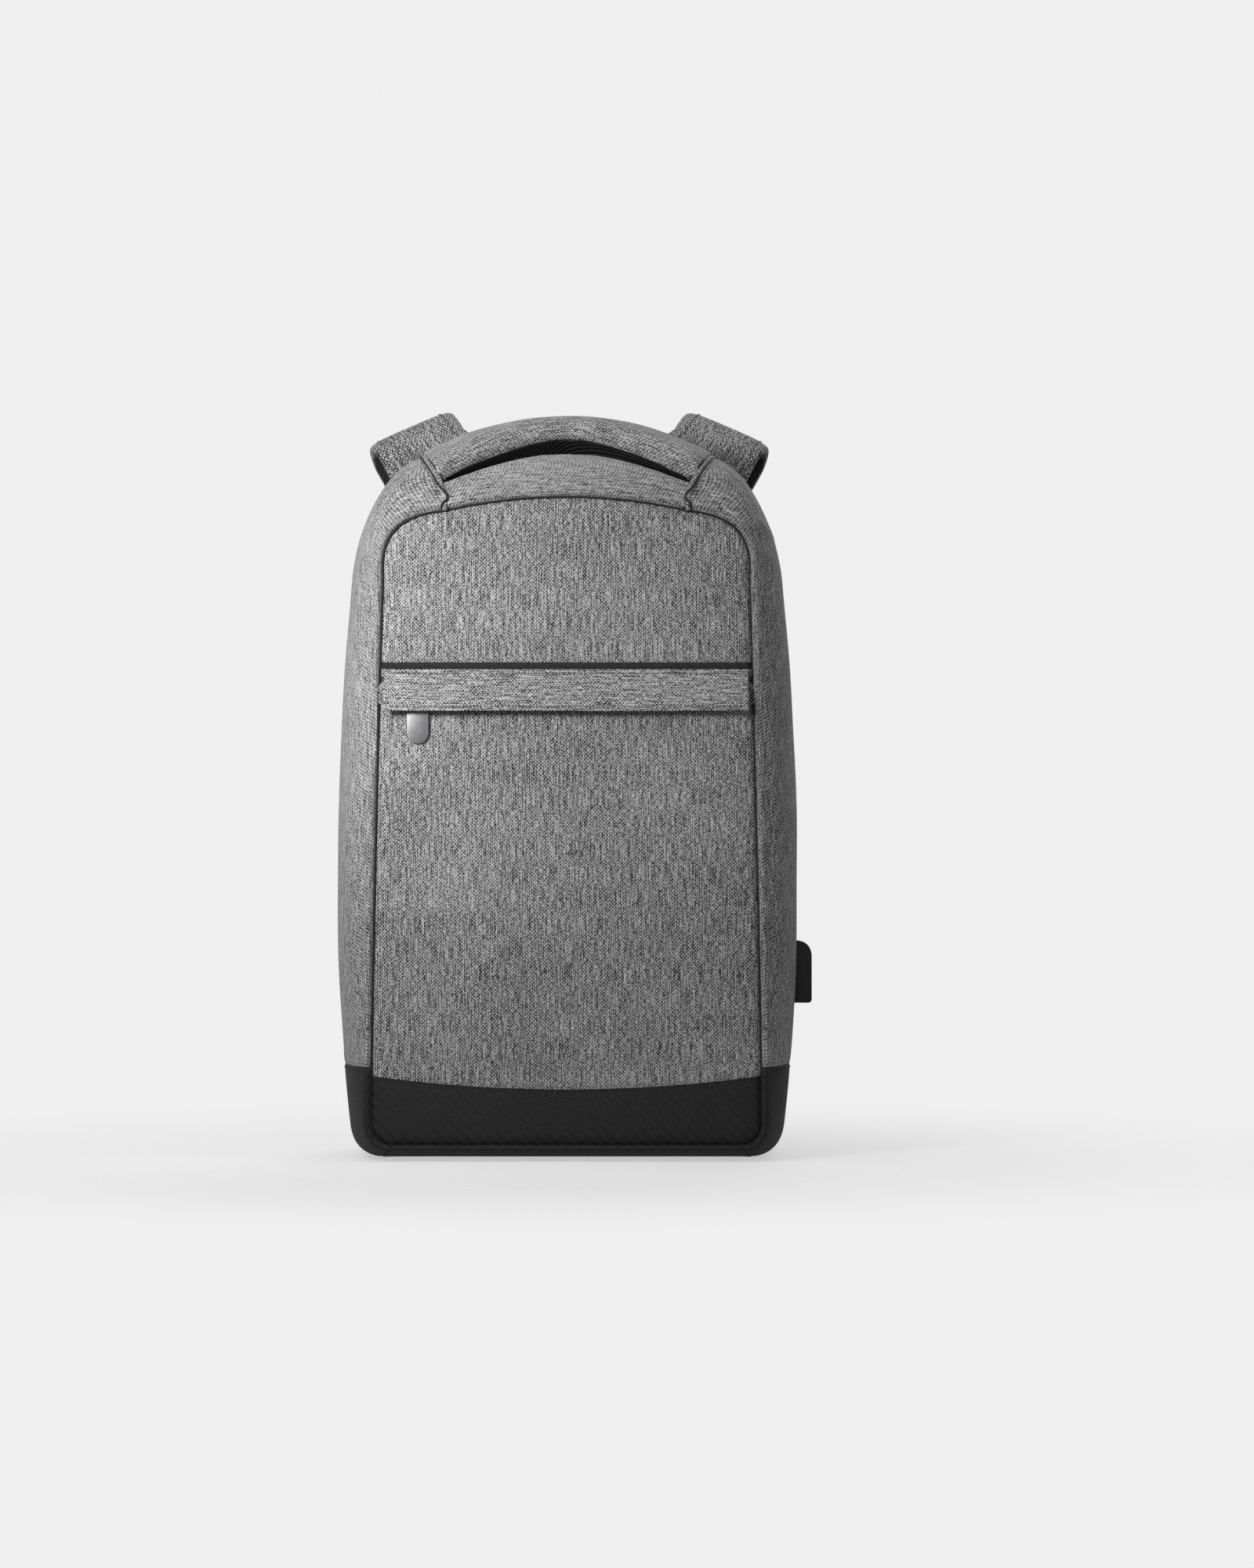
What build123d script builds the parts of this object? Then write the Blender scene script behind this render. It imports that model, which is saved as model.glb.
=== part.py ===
from build123d import *
import math
import os

# A padded city backpack: a tub-shaped shell whose whole back panel unzips as a door, a zipped
# front pocket under a weather flap, a haul handle, two shoulder straps on the door and a USB
# port on the side.  Millimetres.  +Z is up, the front faces -Y, the wearer's back is at +Y.
# The origin is the centre of the underside that the pack stands on.

# ---- driving dimensions -------------------------------------------------------------------
FRONT_Y = -65.0            # front panel, outer face
WIDEST_Y = -12.0           # depth where the shell is widest
RIM_Y = 55.0               # rear edge of the tub
WALL = 3.0                 # fabric, foam and lining together
PANEL = 2.5                # thickness of the front panels
GAP = 0.3                  # air kept between pieces that move against each other

# Half outlines (x, z): bottom corner start, middle, end; side middle, side end; shoulder
# middle, shoulder end; crown.
FRONT_OUTLINE = [(104, 9), (114, 12.5), (118, 23), (115, 188), (110.5, 352), (103, 379),
                 (74, 390.5), (0, 399)]
WIDEST_OUTLINE = [(112, 0), (126, 6), (132, 20), (140, 172), (131, 351), (117, 396),
                  (89, 423), (0, 427)]
RIM_OUTLINE = [(110, 0), (124, 6), (131, 22), (131, 178), (131, 335), (115, 391), (82, 414),
               (0, 420)]
INWARD = [(0, 1), (-0.6, 0.8), (-1, 0), (-1, 0), (-1, -0.1), (-0.85, -0.55), (-0.3, -0.95),
          (0, -1)]
SHELL_STATIONS = [-64.0, -58.0, -46.0, -30.0, WIDEST_Y, 10.0, 32.0, RIM_Y]

BASE_TOP = 57.0            # top edge of the black base on the sides
BASE_DIP = 44.0            # top edge of the black base at the middle of the front
BASE_SIDE = 54.0           # top edge of the black base at the sides of the front
BOTTOM_HALF = 118.0        # half width of the bottom panel
TOP_SEAM_X = 86.0          # seams between the side gussets and the top gusset
REACH = 600.0              # longer than anything in the pack, for cutting boxes

FRONT_ZIP_Z = 280.0
ZIP_HALF_OPEN = 3.0        # half height of the slot that the front zip fills
COIL_GAP = 1.2             # between the two coils, where the slider's web passes
COIL = 2.0                 # width of one coil
COIL_DEEP = 1.7
TAPE = 0.8
TAPE_WIDE = 12.0
TRIM_Z = (295.4, 299.2)
PIPING = 4.0
PIPING_PROUD = 1.2

FLAP_HALF = 109.0
FLAP_Z = (270.0, 294.5)
FLAP_THICK = 1.4
FLAP_TOP_Y = FRONT_Y - 1.0
FLAP_KICK = 6.2            # how far the flap's lower edge stands out to clear the slider

SLIDER_LONG = 10.0
SLIDER_WIDE = 7.2
SLIDER_PLATE = 0.9
FRONT_SLIDER_X = -89.0
STUD_R = 1.2
STUD_FIT = 0.08
STUD_HEAD_R = 2.3
PULLER_WIDE = 13.0
PULLER_TIP_Z = 250.5
PULLER_THICK = 1.3

POCKET_BACK_Y = -50.0
POCKET_TOP_Z = 292.0
LINING = 0.8
SLEEVE_Y = (-20.0, -14.0)
SLEEVE_TOP_Z = 275.0
BASE_BOARD = 2.5

HANDLE_Y = (-14.0, 36.0)
HANDLE_TOP = 450.0
HANDLE_UNDER = 435.0
HANDLE_HALF = 90.0
HANDLE_END_Z = 424.8
HANDLE_FOOT = 84.0         # half length of the opening under the handle
HANDLE_FOOT_Z = 423.5
HANDLE_MESH = 1.6
TAB_THICK = 1.2
TAB_X = (74.0, 90.0)

PORT_Z = (93.0, 131.0)
PORT_HALF = 11.0
PORT_FACE_X = 149.0
SOCKET_Z = 106.0
SOCKET_MOUTH = (12.5, 5.12)    # USB type A receptacle opening
SOCKET_SHEET = 0.3
SOCKET_X = (133.0, 148.2)
SPIGOT_HALF = 9.0
SPIGOT_Z = (99.0, 113.0)
SPIGOT_BACK_X = 131.0

BANK_POCKET_X = 110.0
BANK_POCKET_Y = (14.0, 51.0)
BANK_POCKET_Z = (55.0, 150.0)
BANK_WALL = 1.0

DOOR_BOTTOM = 13.5
DOOR_INNER_Y = 60.5
DOOR_OUTER_Y = 66.5
DOOR_RIM_Y = 64.2
DOOR_INSET = 5.5
REAR_COIL_Y = 60.0
REAR_ZIP_START_Z = 22.0
REAR_SLIDER_Z = 75.0
REAR_SIDE_X = 131.0
SILL_TOP = 12.0

PAD_THICK = 8.0
PAD_X = (14.0, 94.0)
PAD_Z = (70.0, 335.0)
LUMBAR_HALF = 62.0
LUMBAR_Z = (26.0, 62.0)
YOKE_HALF = 88.0
YOKE_Z = (343.0, 397.0)
YOKE_OUTER_Y = 82.5

STRAP_WIDE = 52.0
STRAP_WIDE_LOW = 44.0
STRAP_THICK = 10.0
STRAP_MESH = 2.0
STRAP_FRONT_Y = 68.5       # inner face of the strap's root leaf
FOLD_R = 15.0              # outer radius of the fold at the top of the strap
FOLD_AXIS = (90.9, 436.5)  # x, z of the middle of the fold's axis
LEAN = math.radians(27.0)
ROOT_LONG = 84.0
STRAP_COURSE = [(66.0, 387.5), (60.0, 325.0), (70.0, 245.0), (92.0, 168.0)]

STRAP_END = (0.2, -0.98)    # which way the strap points at its lower end (x, z)
CHAIN_LEAN = math.degrees(math.atan2(STRAP_END[0], -STRAP_END[1]))
WEB_WIDE = 25.0
WEB_THICK = 1.6
BUCKLE_WIDE = 33.0
BUCKLE_TALL = 30.0
BUCKLE_THICK = 6.0


# ---- shell surfaces -----------------------------------------------------------------------
def blend_points(low, high, share):
    return [(a[0] + (b[0] - a[0]) * share, a[1] + (b[1] - a[1]) * share)
            for a, b in zip(low, high)]


def outline_points(y):
    """Key points of the shell's outline at one depth: quarter-round front, easing rear."""
    if y <= WIDEST_Y:
        s = (y - FRONT_Y) / (WIDEST_Y - FRONT_Y)
        return blend_points(FRONT_OUTLINE, WIDEST_OUTLINE, math.sqrt(1 - (1 - s) ** 2))
    s = (y - WIDEST_Y) / (RIM_Y - WIDEST_Y)
    return blend_points(WIDEST_OUTLINE, RIM_OUTLINE, s ** 2)


def bend(start, middle, end):
    """A smooth curve from start to end that passes the middle point."""
    handle = tuple(2 * m - (a + b) / 2 for a, m, b in zip(start, middle, end))
    return Bezier(start, handle, end)


def outline_wire(points, inset, y):
    half = [(x + nx * inset, y, z + nz * inset)
            for (x, z), (nx, nz) in zip(points, INWARD)]
    other = [(-x, y, z) for x, y, z in half]
    edges = [Line(other[0], half[0])]
    for a, m, b in ((0, 1, 2), (2, 3, 4), (4, 5, 6)):
        edges.append(bend(half[a], half[m], half[b]))
    edges.append(bend(half[6], half[7], other[6]))
    for a, m, b in ((6, 5, 4), (4, 3, 2), (2, 1, 0)):
        edges.append(bend(other[a], other[m], other[b]))
    return Wire(edges)


def shell_solid(inset):
    wires = [outline_wire(outline_points(y), inset, y) for y in SHELL_STATIONS]
    return Solid.make_loft(wires, ruled=True)


def outline_prism(points, inset, y0, y1):
    face = Face(outline_wire(points, inset, y0))
    return Solid.extrude(face, Vector(0, y1 - y0, 0))


def outline_ring(points, outer, inner, y0, y1):
    return outline_prism(points, outer, y0, y1) - outline_prism(points, inner, y0, y1)


def block(x, y, z):
    """A box from its (low, high) pair on each axis."""
    size = Box(x[1] - x[0], y[1] - y[0], z[1] - z[0], align=(Align.MIN,) * 3)
    return Pos(x[0], y[0], z[0]) * size


def rod(radius, start, end):
    """A round rod between two points."""
    axis = Vector(*end) - Vector(*start)
    return Plane(origin=start, z_dir=axis) * Cylinder(
        radius, axis.length, align=(Align.CENTER, Align.CENTER, Align.MIN))


def above(z):
    return block((-REACH, REACH), (-REACH, REACH), (z, REACH))


def below(z):
    return block((-REACH, REACH), (-REACH, REACH), (-REACH, z))


def side(sign, x=0.0):
    """Everything further out than x on one side of the pack."""
    span = (x, REACH) if sign > 0 else (-REACH, -x)
    return block(span, (-REACH, REACH), (-REACH, REACH))


def mirrored(shape):
    return mirror(shape, about=Plane.YZ)


NODES = {}


def node(name, shape):
    NODES[name] = shape


def node_pair(name, right_shape):
    """The same piece on both sides; right is +X."""
    node(name + "_right", right_shape)
    node(name + "_left", mirrored(right_shape))


outer_solid = shell_solid(0)
inner_solid = shell_solid(WALL)


# ---- gussets, base and front panels -------------------------------------------------------
def make_gussets():
    ring = outer_solid - inner_solid
    grey = ring & above(BASE_TOP)
    middle = block((-TOP_SEAM_X, TOP_SEAM_X), (-REACH, REACH), (-REACH, REACH))
    node("top_gusset", grey & middle)
    right = grey & side(1, TOP_SEAM_X)
    node("gusset_left", grey & side(-1, TOP_SEAM_X))
    node("gusset_right", right - port_spigot() - port_screw_holes())
    black = ring & below(BASE_TOP)
    floor = block((-BOTTOM_HALF, BOTTOM_HALF), (-REACH, REACH), (-REACH, 13.0))
    node("bottom_panel", black & floor)
    for name, sign in (("base_side_left", -1), ("base_side_right", 1)):
        node(name, (black - floor) & side(sign))
    board = block((-108, 108), (WIDEST_Y, RIM_Y - 1), (WALL, WALL + BASE_BOARD))
    node("base_board", board)
    sill = outline_prism(RIM_OUTLINE, 0, RIM_Y, DOOR_INNER_Y - GAP) & below(SILL_TOP)
    node("rear_sill", sill)


def make_front():
    wall = outline_prism(FRONT_OUTLINE, PIPING - 1, FRONT_Y, FRONT_Y + PANEL)
    edge = Wire([
        bend((-130, FRONT_Y - 5, BASE_SIDE), (0, FRONT_Y - 5, BASE_DIP),
             (130, FRONT_Y - 5, BASE_SIDE)),
        Line((130, FRONT_Y - 5, BASE_SIDE), (130, FRONT_Y - 5, -5)),
        Line((130, FRONT_Y - 5, -5), (-130, FRONT_Y - 5, -5)),
        Line((-130, FRONT_Y - 5, -5), (-130, FRONT_Y - 5, BASE_SIDE)),
    ])
    base = Solid.extrude(Face(edge), Vector(0, 20, 0))
    node("front_base_panel", wall & base)
    node("pocket_face", (wall - base) & below(FRONT_ZIP_Z - ZIP_HALF_OPEN))
    zip_top = FRONT_ZIP_Z + ZIP_HALF_OPEN
    node("zip_facing", wall & above(zip_top) & below(TRIM_Z[0]))
    strip = outline_prism(FRONT_OUTLINE, PIPING - 1, FRONT_Y - 1, FRONT_Y + PANEL)
    node("trim_strip", strip & above(TRIM_Z[0]) & below(TRIM_Z[1]))
    node("front_panel", wall & above(TRIM_Z[1]))
    node("front_piping", outline_ring(FRONT_OUTLINE, -1, PIPING - 1,
                                      FRONT_Y - PIPING_PROUD, SHELL_STATIONS[0]))


def make_pockets():
    back_y = (POCKET_BACK_Y, POCKET_BACK_Y + LINING)
    back = inner_solid & block((-REACH, REACH), back_y, (0, POCKET_TOP_Z + LINING))
    ledge = block((-104, 104), (FRONT_Y + PANEL, back_y[0]),
                  (POCKET_TOP_Z, POCKET_TOP_Z + LINING))
    node("pocket_lining", back + ledge)
    sleeve = inner_solid & block((-REACH, REACH), SLEEVE_Y, (0, SLEEVE_TOP_Z))
    node("laptop_sleeve", sleeve)
    x0, (y0, y1), (z0, z1) = BANK_POCKET_X, BANK_POCKET_Y, BANK_POCKET_Z
    pocket = block((x0, 150), (y0, y1), (z0, z1))
    hollow = block((x0 + BANK_WALL, 150), (y0 + BANK_WALL, y1 - BANK_WALL),
                   (z0 + BANK_WALL, z1))
    node("power_bank_pocket", (pocket - hollow) & inner_solid)


# ---- front zip, flap and puller -----------------------------------------------------------
def make_front_zip():
    half = FLAP_HALF - 2.0
    stop_x = SLIDER_LONG / 2 - FRONT_SLIDER_X + GAP
    back = FRONT_Y + PANEL
    for name, sign in (("lower", -1), ("upper", 1)):
        near = FRONT_ZIP_Z + sign * COIL_GAP / 2
        span = sorted((near, near + sign * COIL))
        node(f"front_coil_{name}", block((-half, half), (back - COIL_DEEP, back), span))
        span = sorted((near, near + sign * (TAPE_WIDE - COIL_GAP / 2)))
        node(f"front_tape_{name}", block((-half, half), (back, back + TAPE), span))
    stops = [block(sorted((s * stop_x, s * (stop_x + 2.5))),
                   (back - COIL_DEEP - 0.3, back),
                   (FRONT_ZIP_Z - COIL_GAP / 2, FRONT_ZIP_Z + COIL_GAP / 2)) for s in (-1, 1)]
    node("front_zip_stops", Compound(children=stops))

    x = (FRONT_SLIDER_X - SLIDER_LONG / 2, FRONT_SLIDER_X + SLIDER_LONG / 2)
    z = (FRONT_ZIP_Z - SLIDER_WIDE / 2, FRONT_ZIP_Z + SLIDER_WIDE / 2)
    face_y = FRONT_Y - GAP - SLIDER_PLATE
    back_y = back + TAPE + GAP
    web = block(x, (face_y, back_y + SLIDER_PLATE),
                (FRONT_ZIP_Z - 0.45, FRONT_ZIP_Z + 0.45))
    front_plate = block(x, (face_y, face_y + SLIDER_PLATE), z)
    back_plate = block(x, (back_y, back_y + SLIDER_PLATE), z)
    head_y = face_y - PULLER_THICK - 1.1
    stud = rod(STUD_R, (FRONT_SLIDER_X, face_y, FRONT_ZIP_Z),
               (FRONT_SLIDER_X, head_y, FRONT_ZIP_Z))
    head = rod(STUD_HEAD_R, (FRONT_SLIDER_X, head_y, FRONT_ZIP_Z),
               (FRONT_SLIDER_X, head_y + 0.6, FRONT_ZIP_Z))
    node("front_slider", front_plate + back_plate + web + stud + head)

    puller_y = face_y - GAP
    tip_r = PULLER_WIDE / 2
    body = block((FRONT_SLIDER_X - tip_r, FRONT_SLIDER_X + tip_r),
                 (puller_y - PULLER_THICK, puller_y), (PULLER_TIP_Z + tip_r, 271.0))
    tip = rod(tip_r, (FRONT_SLIDER_X, puller_y, PULLER_TIP_Z + tip_r),
              (FRONT_SLIDER_X, puller_y - PULLER_THICK, PULLER_TIP_Z + tip_r))
    neck = block((FRONT_SLIDER_X - 3.2, FRONT_SLIDER_X + 3.2),
                 (puller_y - PULLER_THICK, puller_y), (270.0, FRONT_ZIP_Z))
    eye = rod(3.2, (FRONT_SLIDER_X, puller_y, FRONT_ZIP_Z),
              (FRONT_SLIDER_X, puller_y - PULLER_THICK, FRONT_ZIP_Z))
    hole = rod(STUD_R + STUD_FIT, (FRONT_SLIDER_X, puller_y + 1, FRONT_ZIP_Z),
               (FRONT_SLIDER_X, puller_y - 3, FRONT_ZIP_Z))
    node("front_puller", body + tip + neck + eye - hole)


def make_flap():
    low, high = FLAP_Z
    section = Wire.make_polygon([
        (-FLAP_HALF, FLAP_TOP_Y, high),
        (-FLAP_HALF, FLAP_TOP_Y - FLAP_THICK, high),
        (-FLAP_HALF, FLAP_TOP_Y - FLAP_THICK - FLAP_KICK, low),
        (-FLAP_HALF, FLAP_TOP_Y - FLAP_KICK, low),
    ], close=True)
    node("pocket_flap", Solid.extrude(Face(section), Vector(2 * FLAP_HALF, 0, 0)))


# ---- haul handle --------------------------------------------------------------------------
def arch_slab(half, end_z, crown_z, floor_z):
    """What lies between an arch and a level line, across the handle's width."""
    y = HANDLE_Y[0]
    edge = Wire([
        bend((-half, y, end_z), (0, y, crown_z), (half, y, end_z)),
        Line((half, y, end_z), (half, y, floor_z)),
        Line((half, y, floor_z), (-half, y, floor_z)),
        Line((-half, y, floor_z), (-half, y, end_z)),
    ])
    return Solid.extrude(Face(edge), Vector(0, HANDLE_Y[1] - HANDLE_Y[0], 0))


def make_handle():
    skin = shell_solid(-TAB_THICK)
    top = arch_slab(HANDLE_HALF, HANDLE_END_Z, HANDLE_TOP, 400.0)
    under = arch_slab(HANDLE_FOOT, HANDLE_FOOT_Z, HANDLE_UNDER, 380.0)
    mesh_top = arch_slab(HANDLE_FOOT, HANDLE_FOOT_Z + HANDLE_MESH,
                         HANDLE_UNDER + HANDLE_MESH, 380.0)
    node("handle_cover", (top - mesh_top) - skin)
    node("handle_mesh", (mesh_top - under) - skin)
    span = block(TAB_X, (SHELL_STATIONS[0], HANDLE_Y[1]), (380, REACH))
    node_pair("handle_tab", (skin - outer_solid) & span)


# ---- USB port -----------------------------------------------------------------------------
SCREWS_AT = [(-6.5, 121.0), (6.5, 121.0)]
SCREW_R = 1.1


def port_spigot():
    return block((SPIGOT_BACK_X, 141.0), (-SPIGOT_HALF, SPIGOT_HALF), SPIGOT_Z)


def port_screw_holes():
    rods = [rod(SCREW_R, (134.0, y, z), (143.0, y, z)) for y, z in SCREWS_AT]
    return Compound(children=rods)


def socket_block(grow, x):
    half_y = SOCKET_MOUTH[0] / 2 + grow
    half_z = SOCKET_MOUTH[1] / 2 + grow
    return block(x, (-half_y, half_y), (SOCKET_Z - half_z, SOCKET_Z + half_z))


def make_port():
    low, high = PORT_Z
    y = -PORT_HALF
    dome = PORT_FACE_X - 140.0
    profile = Wire([
        Line((134, y, high), (134, y, low)),
        Line((134, y, low), (PORT_FACE_X - 2, y, low)),
        bend((PORT_FACE_X - 2, y, low), (PORT_FACE_X - 0.6, y, low + 0.6),
             (PORT_FACE_X, y, low + 2)),
        Line((PORT_FACE_X, y, low + 2), (PORT_FACE_X, y, high - dome)),
        bend((PORT_FACE_X, y, high - dome),
             (140 + dome * 0.71, y, high - dome + dome * 0.71), (140, y, high)),
        Line((140, y, high), (134, y, high)),
    ])
    hood = Solid.extrude(Face(profile), Vector(0, 2 * PORT_HALF, 0))
    housing = (hood - outer_solid) + port_spigot()
    housing = housing - socket_block(SOCKET_SHEET, (SPIGOT_BACK_X, 160)) - port_screw_holes()
    node("usb_housing", housing)

    tube = socket_block(SOCKET_SHEET, SOCKET_X) - socket_block(0, SOCKET_X)
    node("usb_socket_shell", tube)
    back = socket_block(0, (SOCKET_X[0], SOCKET_X[0] + 3.0))
    tongue = block((SOCKET_X[0] + 3.0, SOCKET_X[1] - 0.7), (-5.55, 5.55),
                   (SOCKET_Z + 0.36, SOCKET_Z + 2.2))
    node("usb_tongue", back + tongue)
    strips = [block((SOCKET_X[0] + 3.0, SOCKET_X[1] - 2.0), (c - 0.5, c + 0.5),
                    (SOCKET_Z + 0.11, SOCKET_Z + 0.36)) for c in (-3.5, -1.0, 1.0, 3.5)]
    node("usb_contacts", Compound(children=strips))

    plate = inner_solid & block((134.2, 140.0), (-14, 14), (90, 127))
    node("usb_inner_plate", plate - port_spigot() - port_screw_holes())
    screws = []
    for sy, sz in SCREWS_AT:
        shank = rod(SCREW_R, (134.0, sy, sz), (143.0, sy, sz))
        head = rod(2.1, (132.8, sy, sz), (134.0, sy, sz))
        screws.append(shank + head)
    node("usb_screws", Compound(children=screws))
    gland = rod(2.6, (SPIGOT_BACK_X - 4.0, 0, SOCKET_Z), (SOCKET_X[0], 0, SOCKET_Z))
    bore = rod(1.8, (SPIGOT_BACK_X - 5.0, 0, SOCKET_Z), (SOCKET_X[0] - 0.5, 0, SOCKET_Z))
    node("usb_gland", gland - bore)


# ---- rear zip -----------------------------------------------------------------------------
def rear_ring(outer, inner, y, low):
    return outline_ring(RIM_OUTLINE, outer, inner, y[0], y[1]) & above(low)


def make_rear_zip():
    half = COIL_GAP / 2
    body_coil = (REAR_COIL_Y - half - COIL, REAR_COIL_Y - half)
    door_coil = (REAR_COIL_Y + half, REAR_COIL_Y + half + COIL)
    node("rear_coil_body", rear_ring(0.5, 2.7, body_coil, REAR_ZIP_START_Z))
    node("rear_tape_body", rear_ring(0.9, 2.3, (RIM_Y, body_coil[0]), SILL_TOP))
    node("rear_coil_door", rear_ring(0.5, 2.7, door_coil, REAR_ZIP_START_Z))
    node("rear_tape_door", rear_ring(0.9, 2.3, (door_coil[1], DOOR_RIM_Y), DOOR_BOTTOM))

    # The slider sits on the left side; its two plates hold the coils between them.
    z = (REAR_SLIDER_Z - SLIDER_LONG / 2, REAR_SLIDER_Z + SLIDER_LONG / 2)
    y = (REAR_COIL_Y - SLIDER_WIDE / 2, REAR_COIL_Y + SLIDER_WIDE / 2)
    coil_out = -(REAR_SIDE_X - 0.5)
    coil_in = -(REAR_SIDE_X - 2.7)
    face = coil_out - GAP - SLIDER_PLATE
    inner = coil_in + GAP
    plates = block((face, face + SLIDER_PLATE), y, z) + block(
        (inner, inner + SLIDER_PLATE), y, z)
    web = block((face, inner + SLIDER_PLATE), (REAR_COIL_Y - 0.45, REAR_COIL_Y + 0.45), z)
    bail_out = face - 3.0
    bail = block((bail_out, face), (REAR_COIL_Y - 0.9, REAR_COIL_Y + 0.9),
                 (REAR_SLIDER_Z - 3.6, REAR_SLIDER_Z + 3.6))
    window = block((bail_out + 1.0, face), (REAR_COIL_Y - 2, REAR_COIL_Y + 2),
                   (REAR_SLIDER_Z - 2.6, REAR_SLIDER_Z + 2.6))
    node("rear_slider", plates + web + (bail - window))

    pin_x = face - 1.0
    half_thick = 0.6
    tip_r = 4.5
    tip_z = REAR_SLIDER_Z - 25.0
    body = block((pin_x - half_thick, pin_x + half_thick),
                 (REAR_COIL_Y - tip_r, REAR_COIL_Y + tip_r), (tip_z, REAR_SLIDER_Z))
    pin = rod(half_thick, (pin_x, REAR_COIL_Y - tip_r, REAR_SLIDER_Z),
              (pin_x, REAR_COIL_Y + tip_r, REAR_SLIDER_Z))
    tip = rod(tip_r, (pin_x - half_thick, REAR_COIL_Y, tip_z),
              (pin_x + half_thick, REAR_COIL_Y, tip_z))
    eye = block((pin_x - 2, pin_x + 2), (REAR_COIL_Y - 1.6, REAR_COIL_Y + 1.6),
                (REAR_SLIDER_Z - 5.4, REAR_SLIDER_Z - half_thick))
    node("rear_puller", body + pin + tip - eye)


# ---- back door ----------------------------------------------------------------------------
def rounded_pad(x, z, radius, y0, y1):
    sketch = Plane(origin=((x[0] + x[1]) / 2, y0, (z[0] + z[1]) / 2), x_dir=(1, 0, 0),
                   z_dir=(0, 1, 0)) * RectangleRounded(x[1] - x[0], z[1] - z[0], radius)
    return extrude(sketch, amount=y1 - y0)


def make_door():
    board = outline_prism(RIM_OUTLINE, DOOR_INSET, DOOR_INNER_Y, DOOR_OUTER_Y)
    node("back_board", board & above(DOOR_BOTTOM))
    rim = outline_ring(RIM_OUTLINE, 0.9, DOOR_INSET, DOOR_RIM_Y, DOOR_OUTER_Y)
    node("door_rim", rim & above(DOOR_BOTTOM))
    pad_y = (DOOR_OUTER_Y, DOOR_OUTER_Y + PAD_THICK)
    node_pair("back_pad", rounded_pad(PAD_X, PAD_Z, 18, *pad_y))
    node("lumbar_pad", rounded_pad((-LUMBAR_HALF, LUMBAR_HALF), LUMBAR_Z, 12, *pad_y))
    yoke = rounded_pad((-YOKE_HALF, YOKE_HALF), YOKE_Z, 16, DOOR_OUTER_Y, YOKE_OUTER_Y)
    root = strap_root(STRAP_FRONT_Y, STRAP_FRONT_Y + STRAP_THICK)
    node("strap_yoke", yoke - root - mirrored(root))


# ---- shoulder straps ----------------------------------------------------------------------
UP = (math.sin(LEAN), math.cos(LEAN))       # along the leaning strap, upwards (x, z)
ACROSS = (math.cos(LEAN), -math.sin(LEAN))  # along the fold line, outwards (x, z)


def strap_root(y0, y1):
    """The leaf that rises from the yoke to the fold."""
    corners = []
    for along, over in ((0, -1), (0, 1), (-ROOT_LONG, 1), (-ROOT_LONG, -1)):
        x = FOLD_AXIS[0] + UP[0] * along + ACROSS[0] * over * STRAP_WIDE / 2
        z = FOLD_AXIS[1] + UP[1] * along + ACROSS[1] * over * STRAP_WIDE / 2
        corners.append((x, y0, z))
    return Solid.extrude(Face(Wire.make_polygon(corners, close=True)), Vector(0, y1 - y0, 0))


def strap_fold(outer, inner):
    middle = STRAP_FRONT_Y + FOLD_R
    start = (FOLD_AXIS[0] - ACROSS[0] * STRAP_WIDE / 2, middle,
             FOLD_AXIS[1] - ACROSS[1] * STRAP_WIDE / 2)
    plane = Plane(origin=start, x_dir=(0, 1, 0), z_dir=(ACROSS[0], 0, ACROSS[1]))
    half = Pos(0, outer / 2) * Rectangle(2 * outer, outer)
    section = (Circle(outer) - Circle(inner)) & half
    return extrude(plane * section, amount=STRAP_WIDE)


def strap_leaf(y0, y1):
    """The contoured leaf that hangs from the fold down to the buckle."""
    course = Spline([FOLD_AXIS] + STRAP_COURSE, tangents=[(-UP[0], -UP[1]), STRAP_END])
    steps = 8
    edges = {1: [], -1: []}
    for i in range(steps + 1):
        share = i / steps
        point = course @ share
        along = course % share
        wide = STRAP_WIDE + (STRAP_WIDE_LOW - STRAP_WIDE) * share
        for sign in edges:
            edges[sign].append((point.X - sign * along.Y * wide / 2, y0,
                                point.Y + sign * along.X * wide / 2))
    outline = Wire([
        Spline(edges[1]),
        Line(edges[1][-1], edges[-1][-1]),
        Spline(edges[-1]),
        Line(edges[-1][0], edges[1][0]),
    ])
    return Solid.extrude(Face(outline), Vector(0, y1 - y0, 0))


def make_straps():
    cover = STRAP_THICK - STRAP_MESH
    back = STRAP_FRONT_Y + 2 * FOLD_R
    strap = strap_root(STRAP_FRONT_Y, STRAP_FRONT_Y + cover)
    strap = strap + strap_fold(FOLD_R, FOLD_R - cover) + strap_leaf(back - cover, back)
    node_pair("shoulder_strap", strap)
    inner = strap_root(STRAP_FRONT_Y + cover, STRAP_FRONT_Y + STRAP_THICK)
    inner = inner + strap_fold(FOLD_R - cover, FOLD_R - STRAP_THICK)
    inner = inner + strap_leaf(back - STRAP_THICK, back - cover)
    node_pair("strap_mesh", inner)


def place_chain(shape):
    """Move a piece built below the strap's end to its leaning place."""
    x, z = STRAP_COURSE[-1]
    return Pos(x, 0, z) * Rot(0, -CHAIN_LEAN, 0) * shape


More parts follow.
